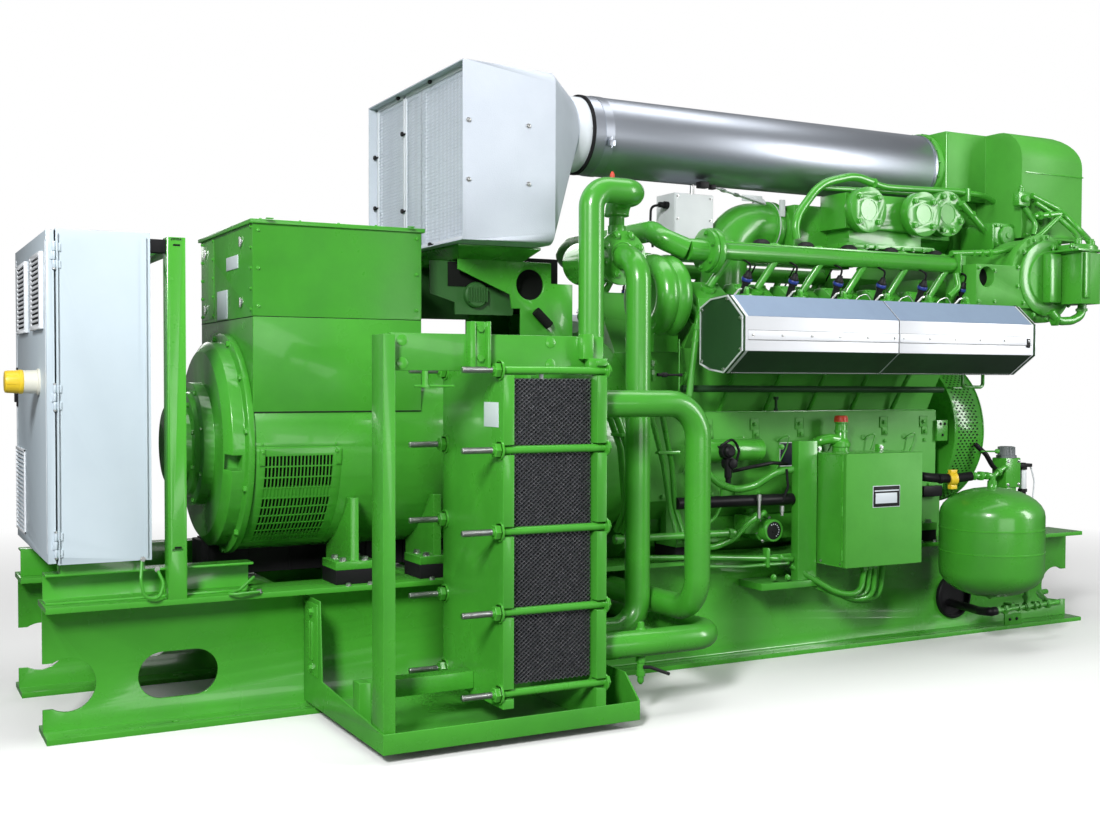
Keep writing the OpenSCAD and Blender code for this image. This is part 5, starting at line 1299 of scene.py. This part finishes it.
guard_low, guard_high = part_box("damper_guard")
guard_r = (guard_high.z - guard_low.z) / 2
guard_z = (guard_high.z + guard_low.z) / 2
# Near black: the slots are dark ovals on the drum, painted shade for the dark behind the holes.
slot_painted_shade = finish("punched_holes_painted_shade", (0.006, 0.012, 0.006), (0.01, 0.018, 0.01), 0.6, 0.8, skin=0.05, dust=0.0)
slots = bmesh.new()
columns, rows_round = 5, 160
column_pitch, half_long, half_wide = 0.025, 0.0064, 0.0042
for k in range(rows_round):
    angle = 2 * math.pi * k / rows_round
    outward = Vector((0, -math.cos(angle), math.sin(angle)))
    along_rim = Vector((0, math.sin(angle), math.cos(angle)))
    for c in range(columns):
        x = guard_low.x + 0.118 + column_pitch * (c + (0.5 if k % 2 else 0))
        middle = Vector((x, 0, guard_z)) + outward * (guard_r + 0.0007)
        oval = [middle + Vector((half_long * math.cos(t), 0, 0)) + along_rim * half_wide * math.sin(t)
                for t in (2 * math.pi * j / 8 for j in range(8))]
        slots.faces.new([slots.verts.new(corner) for corner in oval])
drawn("guard_slots", slots, slot_painted_shade)
guard_edges = bmesh.new()
for x in (guard_low.x + 0.092, guard_high.x - 0.006):
    hoop(guard_edges, x, 0.006, guard_r - 0.001, guard_r + 0.0025, z=guard_z, sides=96)
piece("guard_edge_rings", guard_edges, machine_green)
rim_spots = ring_of((guard_high.x, 0, guard_z), (1, 0, 0), guard_r - 0.02, 12, 0.2)
screws("guard_screws", [(p, (1, 0, 0), 0.007) for p in rim_spots], zinc)

# ---- junction box ----
# A painted sheet-steel box on a folded post. Its lid has a printed panel (left blank here) and a rubber
# seal; cable hoses leave through glands in the floor of the box, and the screws of its ears are plated.
lid_low, lid_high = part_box("junction_box_lid")
jbox_low, jbox_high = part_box("junction_box")
post_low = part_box("junction_box_post")[0]
panel = bmesh.new()
block(panel, (0.811, lid_low.y - 0.0016, 0.618), (0.955, lid_low.y, 0.706), 0.0005)
piece("box_panel_rim", panel, label_white)
panel = bmesh.new()
block(panel, (0.8135, lid_low.y - 0.0024, 0.6205), (0.9525, lid_low.y - 0.0014, 0.7035), 0.0003)
piece("box_panel", panel, lock_black)
panel = bmesh.new()
block(panel, (0.824, lid_low.y - 0.0032, 0.634), (0.938, lid_low.y - 0.0022, 0.676), 0.0003)
block(panel, (0.819, lid_low.y - 0.003, 0.683), (0.948, lid_low.y - 0.0022, 0.688), 0.0002)
piece("box_panel_field", panel, label_white)

EAR_X = (jbox_low.x + 0.02, jbox_high.x - 0.045)
folds = bmesh.new()
for z in (jbox_low.z - 0.0008, jbox_high.z - 0.003):
    block(folds, (jbox_low.x - 0.003, jbox_low.y + 0.004, z),
          (jbox_high.x + 0.003, jbox_high.y - 0.002, z + 0.0038), 0.001)
block(folds, (jbox_low.x - 0.0035, lid_high.y + 0.002, jbox_low.z + 0.003),
      (jbox_low.x + 0.001, lid_high.y + 0.014, jbox_high.z - 0.003), 0.001)
for z in (jbox_low.z + 0.05, (jbox_low.z + jbox_high.z) / 2, jbox_high.z - 0.05):
    turned(folds, (jbox_low.x - 0.004, lid_high.y + 0.003, z - 0.022), up, [(0, 0.0048), (0.044, 0.0048)], 12)
for x in EAR_X:
    block(folds, (x - 0.014, jbox_high.y - 0.02, jbox_high.z - 0.004),
          (x + 0.014, jbox_high.y + 0.004, jbox_high.z + 0.026), 0.003)
piece("box_folds_and_ears", folds, enamel)
lid_seal = bmesh.new()
block(lid_seal, (lid_low.x + 0.004, lid_high.y - 0.0012, lid_low.z + 0.004),
      (lid_high.x - 0.004, lid_high.y + 0.0018, lid_high.z - 0.004), 0.0004)
piece("box_lid_seal", lid_seal, rubber)
box_bits = []
for x in EAR_X:
    box_bits.append(((x, jbox_high.y - 0.02, jbox_high.z + 0.012), near, 0.0075))
box_bits += [((jbox_low.x, y, jbox_low.z + 0.012), (-1, 0, 0), 0.004) for y in (-0.62, -0.5)]
screws("box_ear_screws", box_bits, zinc, sides=10)
screws("post_foot_bolts", [((x, post_low.y, z), near, half) for x, z, half in (
    (0.434, 0.342, 0.01), (0.504, 0.337, 0.01), (0.47, 0.865, 0.009), (0.47, 0.42, 0.009))], machine_green)
glands = bmesh.new()
for x, y in ((0.818, -0.6), (0.868, -0.575), (0.908, -0.56), (0.99, -0.52)):
    turned(glands, (x, y, jbox_low.z + 0.002), (0, 0, -1),
           [(0, 0.021), (0.006, 0.021), (0.006, 0.017), (0.026, 0.017), (0.026, 0.014)], 8)
piece("box_cable_glands", glands, machine_green)
conduit = bmesh.new()
runs = (
    [(0.56, -0.45, 0.375), (0.64, -0.5, 0.32), (0.72, -0.56, 0.262), (0.8, -0.6, 0.262),
     (0.818, -0.6, 0.36)],
    [(0.6, -0.45, 0.36), (0.68, -0.5, 0.29), (0.79, -0.56, 0.232), (0.89, -0.575, 0.24),
     (0.908, -0.56, 0.36)],
    [(0.64, -0.45, 0.35), (0.73, -0.48, 0.27), (0.85, -0.515, 0.214), (0.97, -0.525, 0.222),
     (0.99, -0.52, 0.36)],
    [(0.58, -0.44, 0.365), (0.66, -0.47, 0.29), (0.77, -0.54, 0.244), (0.85, -0.58, 0.25),
     (0.868, -0.575, 0.36)])
for path in runs:
    tube(conduit, bent(path, 0.16), 0.0125, 12, rib=0.0055)
piece("box_cable_hoses", conduit, machine_green)

# ---- expansion tank and its hoses ----
# A welded steel vessel with two rolled seams stands on brackets beside the beam. A black rubber hose with
# a yellow clamp feeds it from the engine; a second hose leaves through the beam to painted fittings.
tank_low, tank_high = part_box("expansion_tank")
tank_r = (tank_high.x - tank_low.x) / 2
tank = Vector((tank_low.x + tank_r, tank_low.y + tank_r, 0))
seams = bmesh.new()
for z in (0.511, 0.413):
    turned(seams, (tank.x, tank.y, z - 0.0045), up,
           [(0, tank_r - 0.002), (0.001, tank_r + 0.0022), (0.007, tank_r + 0.0022), (0.009, tank_r - 0.002)],
           72)
turned(seams, (tank.x - 0.005, tank.y, 0.222), (0, 0, -1),
       [(-0.02, 0.02), (0.0, 0.018), (0.012, 0.012), (0.018, 0.005), (0.018, 0)], 20)
piece("tank_seams", seams, enamel)
fittings = bmesh.new()
tube(fittings, bent([(1.335, tank.y + 0.012, 0.73), (1.45, tank.y, 0.731), (1.45, tank.y, 0.69)], 0.03),
     0.0125, 14)
union_nut(fittings, (1.352, tank.y + 0.01, 0.73), (1, 0, 0), 0.019, 0.02)
union_nut(fittings, (1.388, tank.y + 0.006, 0.73), (1, 0, 0), 0.021, 0.024)
union_nut(fittings, (1.416, tank.y, 0.73), (1, 0, 0), 0.018, 0.014)
union_nut(fittings, (1.45, tank.y, 0.702), up, 0.02, 0.018)
tube(fittings, bent([(1.46, tank.y, 0.15), (1.84, tank.y, 0.157)]), 0.0115, 14)
for x, r, long in ((1.486, 0.018, 0.03), (1.535, 0.021, 0.026), (1.615, 0.017, 0.02), (1.665, 0.021, 0.032),
                   (1.712, 0.02, 0.022), (1.742, 0.017, 0.018), (1.795, 0.02, 0.026)):
    union_nut(fittings, (x, tank.y, 0.15 + (x - 1.46) * 0.018), (1, 0, 0.018), r, long)
tube(fittings, bent([(1.665, tank.y, 0.153), (1.665, tank.y, 0.225)]), 0.0105, 12)
union_nut(fittings, (1.665, tank.y, 0.195), up, 0.017, 0.02)
tube(fittings, bent([(1.835, tank.y, 0.157), (1.865, tank.y, 0.157), (1.88, tank.y + 0.08, 0.15),
                     (2.02, -0.43, 0.15), (2.09, -0.415, 0.15)], 0.05), 0.0125, 12)
turned(fittings, (tank.x, tank.y, tank_high.z - 0.006), up,
       [(0, 0.02), (0.01, 0.02), (0.01, 0.014), (0.046, 0.014)], 20)
block(fittings, (1.548, tank.y - 0.024, 0.168), (1.572, tank.y + 0.022, 0.178), 0.002)
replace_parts(piece("tank_pipe_fittings", fittings, machine_green), "tank_pipework")
rubber_hoses = bmesh.new()
tube(rubber_hoses, bent([(1.0, -0.4, 0.742), (1.1, -0.5, 0.738), (1.18, -0.6, 0.724), (1.262, -0.64, 0.72),
                         (1.342, tank.y + 0.012, 0.73)], 0.12), 0.0195, 18)
tube(rubber_hoses, bent([(1.552, -0.33, 0.13), (1.525, -0.48, 0.13), (1.462, -0.61, 0.14),
                         (1.447, tank.y - 0.004, 0.149), (1.478, tank.y, 0.15)], 0.05), 0.0185, 18)
turned(rubber_hoses, (1.565, -0.352, 0.16), near,
       [(-0.012, 0.1005), (0.01, 0.1005), (0.014, 0.096), (0.014, 0.088), (-0.008, 0.084), (-0.01, 0)], 40)
for k in range(5):
    turned(rubber_hoses, (1.255 - k * 0.002, -0.638, 0.72), (1, -0.3, 0),
           [(-0.055 + k * 0.004, 0.02), (-0.053 + k * 0.004, 0.0206), (-0.052 + k * 0.004, 0.02)], 18)
tube(rubber_hoses, bent([(1.69, -0.35, 0.845), (1.729, -0.38, 0.798), (1.77, -0.38, 0.745),
                         (1.83, -0.36, 0.715)], 0.05), 0.011, 12)
piece("rubber_hoses", rubber_hoses, cable_black)
hose_clamp = bmesh.new()
turned(hose_clamp, (1.262, -0.64, 0.72), (0.93, -0.3, 0.08),
       [(-0.016, 0.0195), (-0.016, 0.026), (-0.012, 0.028), (0.012, 0.028), (0.016, 0.026), (0.016, 0.0195),
        (-0.016, 0.0195)], 26)
block(hose_clamp, (1.244, -0.65, 0.676), (1.28, -0.63, 0.694), 0.003)
block(hose_clamp, (1.244, -0.65, 0.744), (1.28, -0.63, 0.758), 0.003)
piece("yellow_hose_clamp", hose_clamp, switch_yellow)

# ---- filter column and level gauge ----
# A folded-sheet post at the free end carries a small valve block with a ribbed grey knob and its pipes.
# Beside it stands a plastic level gauge between black sockets.
filter_column = bmesh.new()
block(filter_column, (1.852, -0.385, 0.64), (1.948, -0.3, 0.777), 0.006)
block(filter_column, (1.868, -0.375, 0.424), (1.932, -0.31, 0.645), 0.004)
block(filter_column, (1.845, -0.4, 0.424), (1.955, -0.29, 0.436), 0.003)
tube(filter_column, bent([(1.7, -0.38, 0.812), (1.795, -0.38, 0.81)]), 0.004, 8)
turned(filter_column, (1.795, -0.38, 0.81), (1, 0, 0),
       [(-0.006, 0.006), (0, 0.011), (0.01, 0.011), (0.016, 0.004)], 14)
tube(filter_column, bent([(1.76, -0.384, 0.69), (1.84, -0.384, 0.735), (1.86, -0.38, 0.735)], 0.02),
     0.012, 12)
union_nut(filter_column, (1.806, -0.384, 0.716), (0.87, 0, 0.49), 0.019, 0.022)
piece("filter_column", filter_column, machine_green)
screws("filter_column_screws",
       [((x, -0.385, z), near, 0.006) for x in (1.866, 1.934) for z in (0.655, 0.762)], zinc, sides=10)
knob_grey = finish("knob_grey", (0.15, 0.17, 0.175), (0.11, 0.125, 0.13), 0.5, 0.65, skin=0.04, dust=0.08)
knob = bmesh.new()
knob_ribs = 16
turned(knob, (1.9, -0.342, 0.777), up,
       [(0, 0.046), (0.01, 0.046), (0.014, 0.038), (0.05, 0.034), (0.052, 0.03), (0.052, 0)], 20)
for k in range(knob_ribs):
    a = 2 * math.pi * k / knob_ribs
    p = Vector((1.9, -0.342, 0.791)) + Vector((0.037 * math.cos(a), 0.037 * math.sin(a), 0))
    turned(knob, p, up, [(0, 0.0028), (0.036, 0.002)], 6)
piece("filter_column_knob", knob, knob_grey)
gauge = bmesh.new()
GAUGE_X, GAUGE_Y = 2.01, -0.34
turned(gauge, (GAUGE_X, GAUGE_Y, 0.625), up, [(0, 0.014), (0.006, 0.017), (0.086, 0.017), (0.094, 0.012)], 20)
tube(gauge, bent([(2.03, -0.34, 0.74), (2.062, -0.34, 0.732), (2.088, -0.34, 0.66), (2.079, -0.34, 0.585),
                  (2.079, -0.34, 0.43)], 0.04), 0.0036, 8)
piece("level_gauge", gauge, grille_white)
gauge_ends = bmesh.new()
turned(gauge_ends, (GAUGE_X, GAUGE_Y, 0.424), up,
       [(0, 0.016), (0.19, 0.016), (0.19, 0.021), (0.204, 0.021)], 18)
turned(gauge_ends, (GAUGE_X, GAUGE_Y, 0.718), up,
       [(0, 0.02), (0.016, 0.02), (0.02, 0.013), (0.032, 0.013)], 18)
block(gauge_ends, (1.94, -0.362, 0.73), (2.05, -0.322, 0.746), 0.003)
piece("level_gauge_ends", gauge_ends, lock_black)

# ---- mixture cooler and breather ----
# The mixture cooler is a welded drum with a screwed end cover; the breather hangs on it in a cast housing
# with a clamped lid. Green hoses and steel pipes with union nuts run between them and the mixer housing.
DRUM_X, DRUM_END, DRUM_Z = 1.92, 0.54, 1.592
cooler_screws = []
for side in (-1, 1):
    end = Vector((DRUM_X, side * DRUM_END, DRUM_Z))
    cooler_screws += [(p, (0, side, 0), 0.009) for p in ring_of(end, (0, side, 0), 0.184, 14, 0.22)]
screws("cooler_cover_screws", cooler_screws, machine_green)
covers = bmesh.new()
for side in (-1, 1):
    end = Vector((DRUM_X, side * DRUM_END, DRUM_Z))
    turned(covers, end, (0, side, 0),
           [(-0.002, 0.168), (0.003, 0.168), (0.006, 0.163), (0.006, 0.12), (0.012, 0.112), (0.012, 0)], 56)
piece("cooler_end_covers", covers, machine_green)
arm_screws = [((x, -0.54, z), near, 0.008)
              for x, z in ((1.505, 1.475), (1.505, 1.622), (1.6, 1.48), (1.6, 1.615))]
screws("cooler_arm_screws", arm_screws, machine_green)

breather_low, breather_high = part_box("breather_filter")
lid = Vector(((breather_low.x + breather_high.x) / 2, -0.615, 1.726))
housing = bmesh.new()
block(housing, (breather_low.x - 0.016, breather_low.y - 0.006, 1.706),
      (breather_high.x + 0.01, breather_high.y + 0.006, 1.716), 0.003)
turned(housing, lid, up,
       [(-0.014, 0.086), (0.004, 0.086), (0.006, 0.08), (0.012, 0.078), (0.014, 0.07), (0.014, 0)], 40)
block(housing, (breather_low.x + 0.03, breather_low.y - 0.008, 1.5),
      (breather_low.x + 0.06, breather_low.y + 0.002, 1.7), 0.004)
block(housing, (1.88, -0.6, 1.48), (breather_low.x + 0.004, -0.552, 1.7), 0.012)
for x, y in ((breather_low.x - 0.008, -0.66), (breather_high.x + 0.002, -0.64),
             (breather_low.x - 0.008, -0.56)):
    turned(housing, (x, y, 1.714), up,
           [(0, 0.006), (0.01, 0.006), (0.01, 0.012), (0.02, 0.012), (0.027, 0.008), (0.029, 0)], 14)
for x, y in ((1.985, -0.655), (2.07, -0.655)):
    turned(housing, (x, y, 1.73), up,
           [(0, 0.014), (0.012, 0.014), (0.012, 0.017), (0.026, 0.017), (0.03, 0.012), (0.036, 0.012)], 16)
tube(housing, bent([(2.067, -0.615, 1.48), (2.06, -0.615, 1.425), (2.0, -0.612, 1.402), (1.93, -0.6, 1.398),
                    (1.895, -0.59, 1.44)], 0.05), 0.019, 16)
union_nut(housing, (2.063, -0.615, 1.452), up, 0.026, 0.02)
union_nut(housing, (1.915, -0.596, 1.402), (1, 0, 0), 0.027, 0.024)
piece("breather_fittings", housing, machine_green)
lid_joint = bmesh.new()
turned(lid_joint, lid - up * 0.0155, up, [(0, 0.0845), (0.0022, 0.0845)], 40)
piece("breather_lid_joint", lid_joint, lock_black)

lines = bmesh.new()
tube(lines, bent([(0.767, -0.215, 1.74), (0.757, -0.215, 1.79), (0.777, -0.215, 1.851),
                  (0.893, -0.215, 1.985), (1.078, -0.22, 2.032), (1.201, -0.222, 2.004)], 0.22), 0.0185, 18)
tube(lines, bent([(1.19, -0.222, 2.006), (1.262, -0.222, 1.994), (1.689, -0.222, 2.006),
                  (1.864, -0.222, 1.997), (1.935, -0.222, 1.972)], 0.3), 0.014, 16)
tube(lines, bent([(0.93, -0.19, 1.972), (1.262, -0.19, 1.982), (1.5, -0.2, 1.985)], 0.3), 0.011, 14)
tube(lines, bent([(1.64, -0.3, 1.94), (1.793, -0.3, 1.821), (1.83, -0.3, 1.76)], 0.05), 0.016, 16)
tube(lines, bent([(1.955, -0.42, 1.98), (2.137, -0.43, 1.922), (2.179, -0.52, 1.808), (2.102, -0.61, 1.772),
                  (2.07, -0.65, 1.748)], 0.12), 0.0145, 16)
tube(lines, bent([(1.975, -0.425, 1.95), (2.11, -0.44, 1.888), (2.112, -0.52, 1.82), (2.04, -0.61, 1.778),
                  (1.985, -0.655, 1.748)], 0.12), 0.012, 16)
tube(lines, bent([(2.115, -0.45, 1.9), (1.985, -0.45, 1.802), (1.87, -0.45, 1.743), (1.697, -0.45, 1.707),
                  (1.43, -0.45, 1.689)], 0.16), 0.0125, 16)
tube(lines, bent([(1.96, -0.43, 1.886), (2.115, -0.45, 1.904)]), 0.0135, 14)
tube(lines, bent([(1.935, -0.395, 1.935), (1.975, -0.43, 1.85), (1.96, -0.43, 1.8)], 0.05), 0.012, 14)
UNIONS = (((1.186, -0.222, 2.006), (1, 0, -0.2), 0.024, 0.022),
          ((1.742, -0.222, 2.006), (1, 0, 0), 0.02, 0.018),
          ((1.66, -0.45, 1.702), (1, 0, 0.12), 0.019, 0.026),
          ((1.61, -0.45, 1.699), (1, 0, 0.1), 0.017, 0.02),
          ((1.56, -0.45, 1.696), (1, 0, 0.08), 0.016, 0.016),
          ((1.99, -0.434, 1.89), (1, 0, 0.11), 0.021, 0.03),
          ((2.04, -0.44, 1.896), (1, 0, 0.11), 0.017, 0.016),
          ((2.118, -0.45, 1.904), (1, 0, 0.1), 0.018, 0.02),
          ((1.705, -0.3, 1.89), (0.79, 0, -0.61), 0.021, 0.02))
for at, way, r, long in UNIONS:
    union_nut(lines, at, way, r, long)
block(lines, (1.735, -0.245, 1.96), (1.755, -0.17, 2.022), 0.003)
piece("cooler_pipes_and_hoses", lines, machine_green)
throttle = bmesh.new()
block(throttle, (1.8, -0.345, 1.745), (1.945, -0.16, 1.86), 0.018)
block(throttle, (1.785, -0.35, 1.735), (1.8, -0.155, 1.85), 0.006)
turned(throttle, (1.875, -0.345, 1.8), near,
       [(-0.01, 0.046), (0.012, 0.046), (0.016, 0.042), (0.016, 0.016), (0.022, 0.014), (0.022, 0)], 30)
block(throttle, (1.868, -0.425, 1.93), (1.946, -0.385, 1.995), 0.01)
turned(throttle, (1.905, -0.405, 1.995), up, [(0, 0.014), (0.016, 0.014), (0.02, 0.009), (0.03, 0.009)], 14)
turned(throttle, (1.905, -0.425, 1.962), near, [(0, 0.018), (0.014, 0.018), (0.018, 0.012), (0.018, 0)], 18)
piece("gas_valve_and_throttle", throttle, machine_green)
throttle_screws = [((x, -0.345, z), near, 0.007) for x in (1.818, 1.93) for z in (1.762, 1.843)]
throttle_screws += [((1.842, -0.345, 1.842), near, 0.006), ((2.02, -0.39, 1.86), near, 0.008)]
throttle_screws.append(((2.055, -0.39, 1.862), near, 0.008))
screws("throttle_screws", throttle_screws, machine_green)
# A near-black disc in each arm hole is painted shade.
arm_holes = bmesh.new()
for side in (-1, 1):
    turned(arm_holes, (1.552, side * 0.4965, 1.586), (0, side, 0),
           [(0, 0.0448), (0.002, 0.0448), (0.002, 0)], 40)
piece("cooler_arm_hole_floor", arm_holes, painted_shade_finish)
bracket = bmesh.new()
for side in (-1, 1):
    flank(bracket, side, (1.452, 0.446, 1.505), (1.516, 0.454, 1.686), 0.003)
    flank(bracket, side, (1.5, 0.41, 1.49), (1.508, 0.49, 1.56), 0.002)
    flank(bracket, side, (1.447, 0.41, 1.6), (1.453, 0.49, 1.688), 0.002)
    tube(bracket, bent([(1.44, side * 0.47, 1.6), (1.445, side * 0.48, 1.54), (1.4, side * 0.47, 1.5)], 0.03),
         0.014, 14)
piece("rail_end_brackets", bracket, machine_green)
screws("rail_end_screws",
       [((1.484, side * 0.454, z), (0, side, 0), 0.007) for side in (-1, 1) for z in (1.53, 1.59, 1.665)],
       machine_green)

# ---- mixer housing ----
# Two welded halves of painted sheet: a fold line runs over the curved back, a lip closes the lower edge,
# and the duct end is held by a ring of screws.
mixer_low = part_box("mixer_housing")[0]
mixer_bits = bmesh.new()
for side in (-1, 1):
    flank(mixer_bits, side, (1.945, 0.39, 2.09), (2.33, 0.3935, 2.096), 0.0012)
    flank(mixer_bits, side, (1.94, 0.39, 1.8), (2.345, 0.3935, 1.812), 0.0015)
    flank(mixer_bits, side, (1.668, 0.17, 1.99), (1.68, 0.1735, 2.285), 0.0012)
hoop(mixer_bits, 1.664, 0.006, 0.167, 0.171, z=2.13)
piece("mixer_seams", mixer_bits, enamel)
back_screws = [((2.325, y, 1.85), (1, 0, 0), 0.007) for y in (-0.34, -0.12, 0.12, 0.34)]
duct_screws = [(p, (-1, 0, 0), 0.006) for p in ring_of((mixer_low.x, 0, 2.13), (-1, 0, 0), 0.164, 16, 0.1)]
screws("mixer_screws", back_screws + duct_screws, machine_green)

# ---- base frame ----
# Two welded box beams joined by cross members. Weld beads run along the webs and gussets, bolts hold the
# cabinet rails and pads, and an earth wire bridges the cabinet foot and the rail.
beam_low, beam_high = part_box("base_beam_near")
WEB_Y = 0.3435  # outer face of the beam webs, from the middle
welds = bmesh.new()
for side in (-1, 1):
    for z in (0.0185, 0.404):
        way = [Vector((x, side * WEB_Y, z)) for x in (beam_low.x + 0.14, beam_high.x - 0.14)]
        tube(welds, way, 0.0035, 8)
piece("beam_welds", welds, enamel, slot="frame_green")
base_bolts = []
for side in (-1, 1):
    for x in (-2.262, -2.175, -1.72, -1.665):
        spot = landed("cabinet_rails", (x, side * 0.395, 0.8), (0, 0, -1))[0]
        if spot:
            base_bolts.append((spot, up, 0.01))
    for x in (-1.325, -1.245, -1.015, -0.935, 0.065, 0.145, 1.295, 1.375):
        base_bolts.append(((x, side * 0.428, 0.424), up, 0.0095))
screws("base_bolts", base_bolts, zinc)
foot_bolts = []
for side in (-1, 1):
    for x in (0.065, 0.145, 1.295, 1.375):
        spot = landed("crankcase", (x, side * 0.385, 0.6), (0, 0, -1))[0]
        if spot:
            foot_bolts.append((spot, up, 0.014))
screws("engine_foot_bolts", foot_bolts, zinc)
# The slots in the posts are near-black strips of painted shade.
post_slots = bmesh.new()
for side in (-1, 1):
    for z in (0.59, 1.556):
        flank(post_slots, side, (-1.911, 0.4395, z - 0.003), (-1.889, 0.4408, z + 0.003), 0)
piece("post_slots", post_slots, painted_shade_finish)
earth = bmesh.new()
tube(earth, bent([(-2.012, -0.436, 0.556), (-2.02, -0.458, 0.5), (-2.012, -0.462, 0.44),
                  (-1.965, -0.462, 0.432), (-1.948, -0.455, 0.48), (-1.966, -0.442, 0.524)], 0.04),
     0.0052, 10)
tube(earth, bent([(-1.64, -0.383, 0.47), (-1.7, -0.43, 0.437), (-1.746, -0.452, 0.431), (-1.72, -0.47, 0.43),
                  (-1.64, -0.452, 0.43)], 0.04), 0.0052, 10)
piece("earth_wire", earth, machine_green)
lugs = bmesh.new()
turned(lugs, (-1.636, -0.432, 0.424), up, [(0, 0.014), (0.003, 0.014), (0.003, 0.01), (0.012, 0.01)], 6)
for x, z in ((-2.01, 0.56), (-1.966, 0.524)):
    turned(lugs, (x, -0.4405, z), near, [(-0.002, 0.009), (0.002, 0.009), (0.002, 0.006), (0.007, 0.006)], 6)
piece("earth_lugs", lugs, zinc)
stiffeners = bmesh.new()
block(stiffeners, (1.79, -0.446, 0.018), (1.897, -0.4395, 0.074), 0.002)
piece("beam_lug_plate", stiffeners, enamel, slot="frame_green")
screws("beam_lug_screws", [((x, -0.446, 0.046), near, 0.006) for x in (1.822, 1.865)], lock_black)
